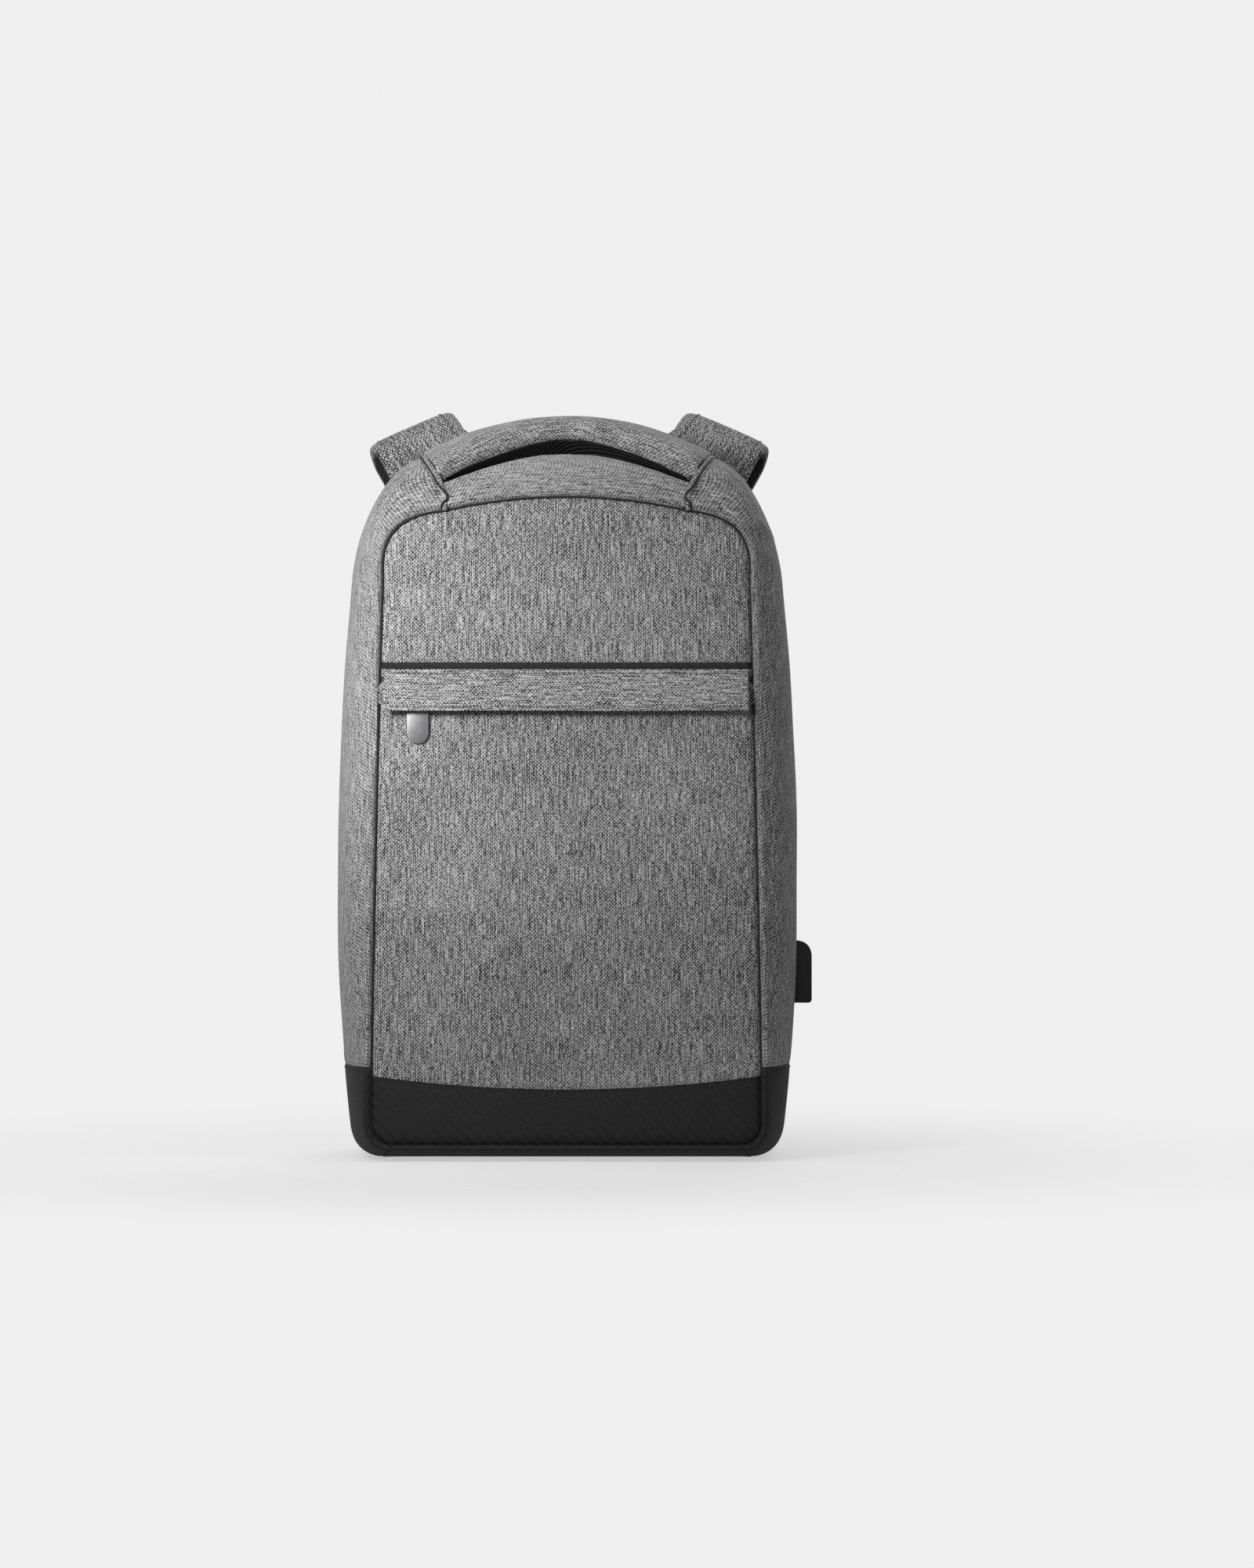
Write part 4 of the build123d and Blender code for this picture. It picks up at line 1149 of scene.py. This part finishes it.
def make_zips():
    """Coils, tapes and end tabs of both zips, and the binding of the shell's rear rim."""
    x = np.linspace(-107, 107, 60)
    for name, sign in (("lower", -1), ("upper", 1)):
        path = joined(x, -63.35, ZIP_Z + sign * 1.25)
        coil_piece(f"front_teeth_{name}", path, facing(path, (0, 0, -sign)),
                   facing(path, TO_THE_FRONT), 1.15, 0.55, 1.5, 0.0 if sign > 0 else math.pi,
                   "tub", f"front_coil_{name}")
        low, high = sorted((ZIP_Z + sign * 0.7, ZIP_Z + sign * 12.0))
        gx, gz = np.meshgrid(np.linspace(-107, 107, 40), np.linspace(low, high, 9))
        front_strip(f"front_zip_tape_{name}", joined(gx, -62.1, gz), 0.36, 0.6, joined(gx, gz),
                    "zip_tape", f"front_tape_{name}")
    for name, y, body, tape_y, low in (("body", 58.35, "tub", (55.0, 57.6), 12.0),
                                       ("door", 61.65, "back_door", (62.4, 64.4), 13.5)):
        path = ring_path(1.5, y, 22.0)
        face = np.cross(unit(np.gradient(path, axis=0)), TO_THE_BACK)
        if (face * (path - (0, y, 200))).sum() < 0:
            face = -face
        side, phase = (TO_THE_BACK, 0.0) if name == "body" else (TO_THE_FRONT, math.pi)
        coil_piece(f"rear_teeth_{name}", path, facing(path, side), face, 1.0, 0.6, 1.7, phase,
                   body, f"rear_coil_{name}")
        outline_band(f"rear_zip_tape_{name}", 0.8, 2.4, *tape_y, low, "zip_tape", body,
                     f"rear_tape_{name}")
    gx, gz = np.meshgrid(np.linspace(104.5, 113.2, 12), np.linspace(274.0, 286.5, 12))
    for sign, side in SIDES:
        front_strip(f"zip_end_tab_{side}", joined(sign * gx, -64.1, gz), 0.8, 1.4,
                    joined(gz, gx), "melange_fabric")
    outline_band("rim_binding", -0.5, 3.2, 50.5, 55.4, 12.0, "piping", "tub", None, 0.5)


make_zips()


# ---- padded pieces -------------------------------------------------------------------------
PAD_CELL = 5.0             # size of a pad's faces before it swells


def swollen(name, loop, y0, y1, material, cap):
    """A foam pad sewn to the door: a slab blown up by a simulation, by no more than the cap."""
    count = len(loop)
    verts = [(x, y, z) for y in (y0 + 1.5, y1 - 2.5) for x, z in loop]
    faces = [list(range(count)), list(range(count, 2 * count))[::-1]]
    faces += [[i, (i + 1) % count, (i + 1) % count + count, i + count] for i in range(count)]
    piece = make_piece(name, verts, faces, np.zeros((2 * count, 2)), [material], sharp=180)
    remesh = piece.modifiers.new("remesh", "REMESH")
    remesh.mode = "VOXEL"
    remesh.voxel_size = PAD_CELL * MM
    apply_modifiers(piece)
    start = mesh_points(piece)
    swell(piece)
    moved = mesh_points(piece) - start
    far = np.linalg.norm(moved, axis=1, keepdims=True)
    points = start + moved * np.minimum(1.0, cap / np.maximum(far, 1e-9))
    points[:, 1] = np.clip(points[:, 1], y0, None)
    write_points(piece, points)
    fine = piece.modifiers.new("fine", "SUBSURF")
    fine.levels = 1
    apply_modifiers(piece)
    for face in piece.data.polygons:
        face.use_smooth = True
    return piece


def apply_modifiers(piece):
    graph = bpy.context.evaluated_depsgraph_get()
    graph.update()
    mesh = bpy.data.meshes.new_from_object(piece.evaluated_get(graph))
    piece.modifiers.clear()
    piece.data = mesh


def mesh_points(piece):
    points = np.zeros(len(piece.data.vertices) * 3)
    piece.data.vertices.foreach_get("co", points)
    return points.reshape(-1, 3) / MM


def write_points(piece, points):
    piece.data.vertices.foreach_set("co", (points * MM).ravel())
    piece.data.update()


SWELL_FRAMES = 20


def swell(piece):
    """A short run of cloth under pressure, without gravity."""
    cloth = piece.modifiers.new("cloth", "CLOTH")
    cloth.settings.quality = 6
    cloth.settings.use_pressure = True
    cloth.settings.uniform_pressure_force = 4.0
    cloth.settings.tension_stiffness = 20
    cloth.settings.compression_stiffness = 20
    cloth.settings.shear_stiffness = 8
    cloth.settings.effector_weights.gravity = 0.0
    cloth.point_cache.frame_start = 1
    cloth.point_cache.frame_end = SWELL_FRAMES
    scene = bpy.context.scene
    for number in range(1, SWELL_FRAMES + 1):
        scene.frame_set(number)
    apply_modifiers(piece)
    scene.frame_set(1)


def weave_by(piece, function):
    """Sets the yarn coordinates of a finished mesh from its points."""
    points = mesh_points(piece)
    values = np.zeros((len(points), 3), np.float32)
    values[:, :2] = function(points)
    old = piece.data.attributes.get("weave")
    if old:
        piece.data.attributes.remove(old)
    layer = piece.data.attributes.new("weave", "FLOAT_VECTOR", "POINT")
    layer.data.foreach_set("vector", values.ravel())


def rounded_loop(x, z, radius, waist=0.0):
    """A rounded rectangle; waist pulls its long sides in between the corners."""
    (x0, x1), (z0, z1) = x, z
    loop = []
    for cx, cz, start in ((x1 - radius, z1 - radius, 0), (x0 + radius, z1 - radius, 90),
                          (x0 + radius, z0 + radius, 180), (x1 - radius, z0 + radius, 270)):
        for step in range(9):
            a = math.radians(start + step * 90 / 8)
            loop.append((cx + radius * math.cos(a), cz + radius * math.sin(a)))
    points = np.array(loop + loop[:1])
    even = sample(points, np.linspace(0, arc_length(points)[-1], 121)[:-1])
    middle = (x0 + x1) / 2
    share = np.sin(math.pi * np.clip((even[:, 1] - z0) / (z1 - z0), 0, 1))
    even[:, 0] = middle + (even[:, 0] - middle) * (1 - waist * share)
    return even


def channels(points, y0, levels, depth, width):
    """Presses sewn channels into the outer face of a pad at these heights."""
    top = smooth((points[:, 1] - y0 - 1.5) / 3.0)
    for level, slope in levels:
        line = level + slope * np.abs(points[:, 0])
        points[:, 1] -= depth * top * np.exp(-((points[:, 2] - line) / width) ** 2)
    return points


def pad_piece(name, loop, y0, y1, material, node, levels=(), depth=4.0, cap=7.0, fill=0.7):
    """A cushion with its sewn channels and the binding round its foot."""
    piece = swollen(name, loop, y0, y1, material, cap)
    points = channels(mesh_points(piece), y0, levels, depth, 2.6)
    write_points(piece, points)
    weave_by(piece, lambda p: p[:, [2, 0]] + p[:, [1, 1]] * (0.0, 0.7))
    slot = "air_mesh" if material == "air_mesh" else "back_fabric"
    place_piece(piece, "back_door", slot, node, padded=fill)
    piping(name + "_binding", joined(loop[:, 0], y0 + 0.9, loop[:, 1]), TO_THE_BACK, 1.5, 1.4,
           8, "back_door", closed=True)


# ---- back door -----------------------------------------------------------------------------
DOOR_FACE_Y = 66.5


def door_grid(inset, low, u, v):
    """Flat grid of the door inside the rear outline and above a height."""
    line = half_outline(RIM, inset)
    run = arc_length(line)
    start = length_at_z(line, low, FLOOR_END)
    right = stretch(line, start, run[SHOULDER_MID], np.linspace(0, 1, 120))
    top = stretch(line, run[-1], run[SHOULDER_MID], np.linspace(0, 1, 80))
    crown = np.concatenate([flip(top)[::-1], top[1:]])
    floor = joined(np.linspace(-right[0, 0], right[0, 0], 60), low)
    return coons(floor, crown, flip(right), right, u, v)


def make_door():
    """The padded back panel with its binding, stitching and cushions."""
    u = shares_with_edges(250, 46, (0, 0.7, 1.8, 3.5, 6.0))
    v = shares_with_edges(395, 70, (0, 0.7, 1.8, 3.5, 6.0))
    flat = door_grid(4.6, 13.5, u, v)
    x, z = flat[..., 0], flat[..., 1]
    edge = border_distance(joined(x, 0, z))
    wave = ripple(joined(x, 0, z), 60.0, 12.0)
    outer = joined(x, 64.9 + 1.6 * (1 - np.exp(-edge / 2.0)) + 0.3 * wave, z)
    inner = joined(x, 61.4 - 0.9 * (1 - np.exp(-edge / 2.0)), z)
    piece = slab("back_panel", outer, inner, joined(z, x), ["back_fabric", "lining"])
    place_piece(piece, "back_door", "back_fabric", "back_board", padded=0.6)

    piping("door_edge_binding", ring_path(3.1, 65.5, 14.0), TO_THE_BACK, 2.3, 1.5, 12,
           "back_door", "door_rim")
    rows = Stitches()
    line = ring_path(6.8, 66.6, 20.0)
    rows.row(line, facing(line, TO_THE_BACK))
    rows.build("door_topstitch", "back_door", "black_thread")

    pad_levels = [(level, 0.10) for level in (118.0, 166.0, 214.0, 262.0, 305.0)]
    loop = rounded_loop((16, 92), (72, 333), 17, 0.06)
    pad_piece("back_cushion_right", loop, DOOR_FACE_Y, 75.0, "air_mesh", "back_pad_right",
              pad_levels)
    pad_piece("back_cushion_left", flip(loop)[::-1], DOOR_FACE_Y, 75.0, "air_mesh",
              "back_pad_left", pad_levels)
    pad_piece("lumbar_cushion", rounded_loop((-60, 60), (28, 60), 12), DOOR_FACE_Y, 75.0,
              "air_mesh", "lumbar_pad")
    pad_piece("yoke_cushion", rounded_loop((-86, 86), (345, 395), 15), DOOR_FACE_Y, 82.5,
              "back_fabric", "strap_yoke", [(352.0, 0.0), (388.0, 0.0)], 1.5, 5.0, 0.8)


make_door()


# ---- shoulder straps -----------------------------------------------------------------------
LEAN = math.radians(27.0)
UP = np.array([math.sin(LEAN), 0.0, math.cos(LEAN)])
ACROSS = np.array([math.cos(LEAN), 0.0, -math.sin(LEAN)])
BACKWARD = np.array(TO_THE_BACK)
FOLD_AXIS = np.array([90.9, 83.5, 436.5])
STRAP_COURSE = [(66.0, 387.5), (60.0, 325.0), (70.0, 245.0), (92.0, 168.0)]
STRAP_END = (0.2, -0.98)
LEAF = 10.8                # distance of each leaf's middle from the fold's axis
SPLAY = 6.0                # how far the rear leaf stands out sideways past the front one
STRAP_WIDE = 52.0
FOLD_STATION = 33          # the station at the top of the fold


def hermite(points, tangents, count):
    """A smooth run through points with these end directions."""
    p = np.array(points, float)
    chord = arc_length(p)
    slope = np.gradient(p, chord, axis=0)
    slope[0], slope[-1] = tangents[0], tangents[-1]
    t = np.linspace(0, chord[-1], count)
    i = np.clip(np.searchsorted(chord, t) - 1, 0, len(p) - 2)
    h = (chord[i + 1] - chord[i])[:, None]
    s = (t[:, None] - chord[i][:, None]) / h
    return ((2 * s ** 3 - 3 * s ** 2 + 1) * p[i] + (s ** 3 - 2 * s ** 2 + s) * h * slope[i]
            + (3 * s ** 2 - 2 * s ** 3) * p[i + 1] + (s ** 3 - s ** 2) * h * slope[i + 1])


def strap_stations():
    """Middle line, sideways and outward directions and width of the right strap.

    Its root flares towards the middle of the back below the fold.
    """
    middle, sideways, outward, wide = [], [], [], []
    for along in np.linspace(-80, 0, 26):
        flare = 17.0 * smooth(-along / 40.0) + 5.0 * min(-along / 12.0, 1.0)
        middle.append(FOLD_AXIS + UP * along - BACKWARD * LEAF - ACROSS * flare / 2)
        sideways.append(ACROSS)
        outward.append(-BACKWARD)
        wide.append(STRAP_WIDE + flare)
    for a in np.linspace(0, math.pi, 17)[1:]:
        way = -BACKWARD * math.cos(a) + UP * math.sin(a)
        shift = ACROSS * SPLAY * smooth(a / math.pi)
        middle.append(FOLD_AXIS + way * LEAF + shift)
        sideways.append(ACROSS)
        outward.append(way)
        wide.append(STRAP_WIDE)
    course = hermite([FOLD_AXIS[[0, 2]]] + STRAP_COURSE, (-UP[[0, 2]], STRAP_END), 90)
    heading = unit(np.gradient(course, axis=0))
    run = arc_length(course)
    for i in range(1, len(course)):
        over = np.array([-heading[i, 1], 0.0, heading[i, 0]])
        fade = 1 - smooth(run[i] / 110.0)
        middle.append(np.array([course[i, 0], FOLD_AXIS[1] + LEAF, course[i, 1]])
                      + ACROSS * SPLAY * fade)
        sideways.append(over)
        outward.append(BACKWARD)
        wide.append(STRAP_WIDE - 8.0 * run[i] / run[-1])
    middle, sideways = np.array(middle), np.array(sideways)
    run = arc_length(middle)
    near = np.exp(-((run - run[FOLD_STATION]) / 32.0) ** 2)[:, None]
    middle = middle + near * UP * 1.4
    sideways = sideways + near * UP * 0.055
    return middle, sideways, np.array(outward), np.array(wide)


def strap_rings(low, high, margin, crown):
    """Closed sections between two depths of the strap, with soft corners."""
    middle, sideways, outward, wide = strap_stations()
    t = np.linspace(0, 2 * math.pi, 44, endpoint=False)
    c, s = np.cos(t), np.sin(t)
    reach = np.sign(c) * np.abs(c) ** 0.42
    lift = np.sign(s) * np.abs(s) ** 0.55
    across = reach[None, :] * (wide[:, None] / 2 + 1.5 - margin)
    mid, half = (low + high) / 2, (high - low) / 2
    depth = mid + half * lift[None, :] + crown * (1 - np.abs(reach[None, :]) ** 2.5) * (
        lift[None, :] > 0)
    rings = (middle[:, None] + sideways[:, None] * across[..., None]
             + outward[:, None] * depth[..., None])
    return rings, joined(arc_length(middle)[:, None], across + depth)


def make_straps():
    """Both shoulder straps: a padded cover, a mesh lining and two rows of stitches."""
    middle, sideways, outward, wide = strap_stations()
    for sign, side in SIDES:
        flip_x = np.array([sign, 1.0, 1.0])
        rings, weave = strap_rings(-2.6, 4.4, 0.0, 0.7)
        rings = rings * flip_x
        wave = ripple(rings, 34.0, 11.0 * sign)[..., None]
        n = grid_normals(rings, rings - (middle * flip_x)[:, None])
        cover = tube(f"strap_cover_{side}", rings + n * 0.45 * wave, weave, ["melange_fabric"])
        place_piece(cover, "back_door", "melange_fabric", f"shoulder_strap_{side}", padded=0.75)
        rings, weave = strap_rings(-5.4, -1.2, 0.7, 0.0)
        lining = tube(f"strap_lining_{side}", rings * flip_x, weave, ["air_mesh"])
        place_piece(lining, "back_door", "air_mesh", f"strap_mesh_{side}", padded=0.4)
        rows = Stitches()
        for way in (-1, 1):
            edge = (middle + sideways * (way * (wide / 2 - 5.0))[:, None]
                    + outward * 4.85) * flip_x
            rows.row(edge[12:], (outward * flip_x)[12:], lift=-0.05)
        rows.build(f"strap_topstitch_{side}", "back_door")


make_straps()


# ---- webbing, adjusters and wing tabs ------------------------------------------------------
CHAIN_TOP = np.array([92.0, 0.0, 168.0])
CHAIN_LEAN = math.atan2(0.2, 0.98)
CHAIN_Y = 93.5
WEB_HALF = 12.5


def hung(points, sign):
    """Moves points built below the strap's end to their leaning place on one side."""
    x = points[..., 0] * math.cos(CHAIN_LEAN) - points[..., 2] * math.sin(CHAIN_LEAN)
    z = points[..., 0] * math.sin(CHAIN_LEAN) + points[..., 2] * math.cos(CHAIN_LEAN)
    placed = joined(x, points[..., 1], z) + CHAIN_TOP
    return placed * (sign, 1, 1)


def webbing(name, run, sign, *nodes):
    """Ribbed flat webbing whose middle follows a run of (y, z) points."""
    line = np.array(run, float)
    chord = arc_length(line)
    tangents = unit(np.stack([line[1] - line[0], line[-1] - line[-2]]))
    line = hermite(line, tangents, max(int(chord[-1] / 1.6), 16))
    across = np.linspace(-WEB_HALF, WEB_HALF, 33)
    grid = joined(across, line[:, :1], line[:, 1:])
    rib = 0.12 * np.abs(np.sin(across * math.pi / 2.1))
    weave = joined(arc_length(line)[:, None], across)
    normal = grid_normals(grid, facing(grid, TO_THE_BACK))
    edge = np.clip((WEB_HALF - np.abs(across)) / 0.9, 0.12, 1) ** 0.5
    thick = (0.62 * edge + rib)[None, :, None]
    piece = slab(name, hung(grid + normal * thick, sign), hung(grid - normal * thick, sign),
                 weave, ["webbing"], sharp=70)
    return place_piece(piece, "back_door", "webbing", *nodes)


def make_chains():
    """Webbing below the straps and the wing tabs that it is sewn to."""
    wing_y = DOOR_FACE_Y + 1.8
    for sign, side in SIDES:
        webbing(f"adjuster_web_{side}",
                [(wing_y, -112.0), (wing_y + 5, -92.0), (CHAIN_Y - 9, -56.0),
                 (CHAIN_Y - 4.5, -30.0), (CHAIN_Y - 4.1, -22.0), (CHAIN_Y - 2.2, -19.6),
                 (CHAIN_Y + 2.2, -19.4), (CHAIN_Y + 4.1, -21.6), (CHAIN_Y + 4.6, -30.0),
                 (CHAIN_Y + 5.2, -60.0), (CHAIN_Y + 4.6, -84.0), (CHAIN_Y + 6.0, -87.6),
                 (CHAIN_Y + 7.6, -84.0), (CHAIN_Y + 7.2, -78.0)], sign,
                f"lower_webbing_{side}")
        webbing(f"end_loop_web_{side}",
                [(CHAIN_Y - 3.4, 6.0), (CHAIN_Y - 4.2, -2.0), (CHAIN_Y - 4.1, -9.0),
                 (CHAIN_Y - 2.4, -11.6), (CHAIN_Y + 2.4, -11.6), (CHAIN_Y + 4.1, -9.0),
                 (CHAIN_Y + 4.2, -2.0), (CHAIN_Y + 3.4, 6.0)], sign,
                f"strap_end_loop_{side}")
        u = shares_with_edges(34, 12, (0, 0.3, 0.8, 1.6, 3.0))
        v = shares_with_edges(30, 12, (0, 0.3, 0.8, 1.6, 3.0))
        x = (-17 + 34 * u[None, :]) + 0 * v[:, None]
        z = (-128 + 30 * v[:, None]) + 0 * u[None, :]
        x = x + 6 * (1 - v[:, None]) * (u[None, :] - 0.5)
        middle = hung(joined(x, DOOR_FACE_Y + 0.6, z), sign)
        outward = facing(middle, TO_THE_BACK)
        piece = soft_slab(f"wing_{side}", middle, 0.55, 1.0, outward, joined(z, x),
                          ["melange_fabric"], 0.6)
        place_piece(piece, "back_door", "melange_fabric", f"wing_tab_{side}")
        rows = Stitches()
        for row in (5, -6):
            rows.row(middle[row, 4:-4] + (0, 1.8, 0), outward[row, 4:-4], 2.6, 2.0)
        for column in (5, -6):
            rows.row(middle[4:-4, column] + (0, 1.8, 0), outward[4:-4, column], 2.6, 2.0)
        rows.build(f"wing_stitches_{side}", "back_door")


make_chains()


# ---- inside the tub ------------------------------------------------------------------------
def inside_sheet(name, y, top, thick, wave, node, crown=0.0):
    """A lining or divider that fills the shell at one depth up to a height."""
    s = (y - FRONT_Y) / (WIDEST_Y - FRONT_Y)
    q = math.sqrt(1 - (1 - s) ** 2)
    line = half_outline(FRONT + (WIDEST - FRONT) * q, 3.2)
    run = arc_length(line)
    end = length_at_z(line, top)
    right = stretch(line, run[CORNER_MID], end, np.linspace(0, 1, 90))
    floor = stretch(line, 0, run[CORNER_MID], np.linspace(0, 1, 60))
    floor = np.concatenate([flip(floor)[::-1], floor[1:]])
    head = joined(np.linspace(-right[-1, 0], right[-1, 0], 60), top)
    u = shares_with_edges(250, 40, (0, 0.5, 1.4, 3.0, 6.0))
    v = shares_with_edges(270, 44, (0, 0.5, 1.4, 3.0, 6.0))
    flat = coons(floor, head, flip(right), right, u, v)
    x, z = flat[..., 0], flat[..., 1]
    middle = joined(x, y, z)
    middle[..., 1] += wave * ripple(middle, 70.0, y) * smooth(border_distance(middle) / 20.0)
    piece = soft_slab(name, middle, thick / 2, min(thick / 2, 3.0) + 0.4,
                      facing(middle, TO_THE_BACK), joined(z, x), ["lining"], crown)
    place_piece(piece, "tub", "lining", node)
    return piece, right[-1, 0]


def make_inside():
    """Tub lining, front pocket lining, laptop divider and power bank pouch."""
    place_piece(slab("tub_lining", *shell_lining(), ["lining"]), "tub", "lining")
    pocket, _ = inside_sheet("front_pocket_lining", -49.5, 292.0, 0.8, 1.0, "pocket_lining")
    sleeve, half = inside_sheet("laptop_divider", -17.0, 274.0, 5.4, 0.8, "laptop_sleeve", 0.4)
    piping("divider_binding", joined(np.linspace(-half, half, 80), -17.0, 273.5), (0, 0, 1),
           3.6, 1.6, 14, "tub")

    corner = 7.0
    y0, y1, x0 = 14.6, 50.4, 110.6
    arc = np.linspace(0, math.pi / 2, 9)
    plan = [(133.5, y0)]
    plan += [(x0 + corner - corner * math.sin(a), y0 + corner - corner * math.cos(a)) for a in arc]
    plan += [(x0 + corner - corner * math.cos(a), y1 - corner + corner * math.sin(a)) for a in arc]
    plan += [(131.5, y1)]
    plan = np.array(plan)
    plan = sample(plan, np.linspace(0, arc_length(plan)[-1], 60))
    z = np.linspace(55.5, 149.5, 40)
    grid = joined(plan[:, 0], plan[:, 1], z[:, None])
    belly = np.sin(math.pi * np.linspace(0, 1, 40)) * 1.6
    grid[..., 0] -= belly[:, None] * (grid[..., 0] < 118)
    pouch = skin("power_bank_pouch", grid, facing(grid, (-1, 0, 0)), 0.8,
                 joined(grid[..., 2], arc_length(plan)), ["air_mesh"])
    place_piece(pouch, "tub", "lining", "power_bank_pocket")
    piping("pouch_elastic", grid[-1] + (0, 0, 0.4), (0, 0, 1), 1.1, 2.8, 12, "tub")


def shell_lining():
    """Outer and inner grids of the lining that hangs inside the shell, and its yarns."""
    rows, inner, along = [], [], []
    stations = [(FRONT, WIDEST, q) for q in (0.35, 0.5, 0.7, 0.85, 1.0)]
    depths = [front_depth(q) for _, _, q in stations]
    stations += [(WIDEST, RIM, s * s) for s in (0.3, 0.55, 0.8, 0.97)]
    depths += [WIDEST_Y + (RIM_Y - WIDEST_Y) * s for s in (0.3, 0.55, 0.8, 0.97)]
    for (low, high, share), y in zip(stations, depths):
        for inset, store in ((2.3, rows), (2.9, inner)):
            half = half_outline(low + (high - low) * share, inset)
            full = np.concatenate([half, flip(half)[-2:0:-1], half[:1]])
            even = sample(full, np.linspace(0, arc_length(full)[-1], 220))
            store.append(joined(even[:, 0], y, even[:, 1]))
        along.append(arc_length(even))
    rows, inner = under_handle(np.stack(rows), 6.4), under_handle(np.stack(inner), 7.0)
    return rows, inner, joined(rows[..., 1], np.stack(along))


make_inside()


# ---- sill and hinge cloth ------------------------------------------------------------------
def floor_strip(profile, half):
    """A strip across the pack whose section is a run of (y, z) points."""
    line = np.array(profile, float)
    line = sample(line, np.linspace(0, arc_length(line)[-1], 26))
    x = np.linspace(-half, half, 90)
    return joined(x, line[:, :1], line[:, 1:]), joined(x, arc_length(line)[:, None])


def make_sill():
    """The cloth of the rear sill and the hinge that joins it to the door."""
    grid, weave = floor_strip([(54.6, 0.5), (60.0, 0.7), (60.1, 11.4), (55.0, 11.7)], 109)
    away = (grid - (0, 57.0, 6.0)) * (0, 1, 1)
    lift = 0.3 * ripple(grid, 30.0, 15.0)[..., None] * grid_normals(grid, away)
    piece = skin("rear_sill_cloth", grid + lift * 0.3, away, 0.8, weave, ["base_fabric"])
    place_piece(piece, "tub", "base_fabric", "rear_sill")
    grid, weave = floor_strip([(60.5, 3.0), (60.9, 8.0), (61.6, 12.5), (64.6, 14.0),
                               (66.9, 17.5), (67.1, 22.0)], 108)
    hinge = skin("hinge_cloth", grid, facing(grid, TO_THE_BACK), 0.5, weave, ["base_fabric"])
    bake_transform(hinge)


make_sill()


# ---- finishes of the fittings that keep their own shape ------------------------------------
CARRIED = {
    "usb_socket_shell": "socket_metal", "usb_tongue": "socket_plastic",
    "usb_contacts": "contact_gold", "usb_inner_plate": "black_plastic",
    "usb_screws": "zip_metal", "usb_gland": "socket_plastic", "front_zip_stops": "zip_metal",
    "base_board": "stiffener",
}
for node, material in CARRIED.items():
    for holder in NODES[node].material_slots:
        holder.material = MATERIALS[material]


# ---- floor, dome and light -----------------------------------------------------------------
def make_stage():
    """A pale floor that fades into an evenly lit pale dome."""
    bpy.ops.mesh.primitive_circle_add(vertices=96, radius=2.4, fill_type="NGON")
    floor = bpy.context.object
    floor.name = "floor"
    g = Graph("floor_paper", {"Roughness": 0.9, "Specular IOR Level": 0.1})
    g.finish((0.80, 0.80, 0.80, 1.0))
    clear = g.tree.nodes.new("ShaderNodeBsdfTransparent")
    far = g.node("VectorMath", {0: g.place()}, "Value", operation="LENGTH")
    fade = g.node("MapRange", {"Value": far, "From Min": 0.10, "From Max": 0.55,
                               "To Min": 0.6, "To Max": 1.0}, 0,
                  interpolation_type="SMOOTHSTEP")
    both = g.tree.nodes.new("ShaderNodeMixShader")
    g.put(both.inputs[0], fade)
    g.put(both.inputs[1], g.shader.outputs[0])
    g.put(both.inputs[2], clear.outputs[0])
    g.put(g.tree.nodes["Material Output"].inputs["Surface"], both.outputs[0])
    floor.data.materials.append(g.material)

    bpy.ops.mesh.primitive_uv_sphere_add(segments=48, ring_count=24, radius=12.0)
    dome = bpy.context.object
    dome.name = "dome"
    g = Graph("dome_paper", {"Base Color": (0, 0, 0, 1), "Roughness": 1.0,
                             "Emission Color": (1, 1, 1, 1), "Emission Strength": 0.862})
    dome.data.materials.append(g.material)
    for ray in ("diffuse", "glossy", "transmission", "volume_scatter", "shadow"):
        setattr(dome, "visible_" + ray, False)
    world = bpy.data.worlds.new("studio")
    world.use_nodes = True
    world.node_tree.nodes["Background"].inputs[0].default_value = (1, 1, 1, 1)
    world.node_tree.nodes["Background"].inputs[1].default_value = 0.235
    bpy.context.scene.world = world
    bpy.context.scene.view_settings.view_transform = "Standard"


make_stage()
add_camera()
add_light("key", (-0.38, -0.61, 0.50), (-0.16, -0.05, 0.31), 0.24, 1.14, 70)
add_light("fill", (0.80, -0.40, 0.95), (0.10, 0.0, 0.30), 0.30, 2.1, 180)
add_light("top", (-0.3, -0.1, 1.6), (0.0, 0.0, 0.25), 0.9, 5.0, 180)
add_light("rear", (0.4, 2.0, 1.2), (0.0, 0.05, 0.25), 1.2, 20.0, 180)
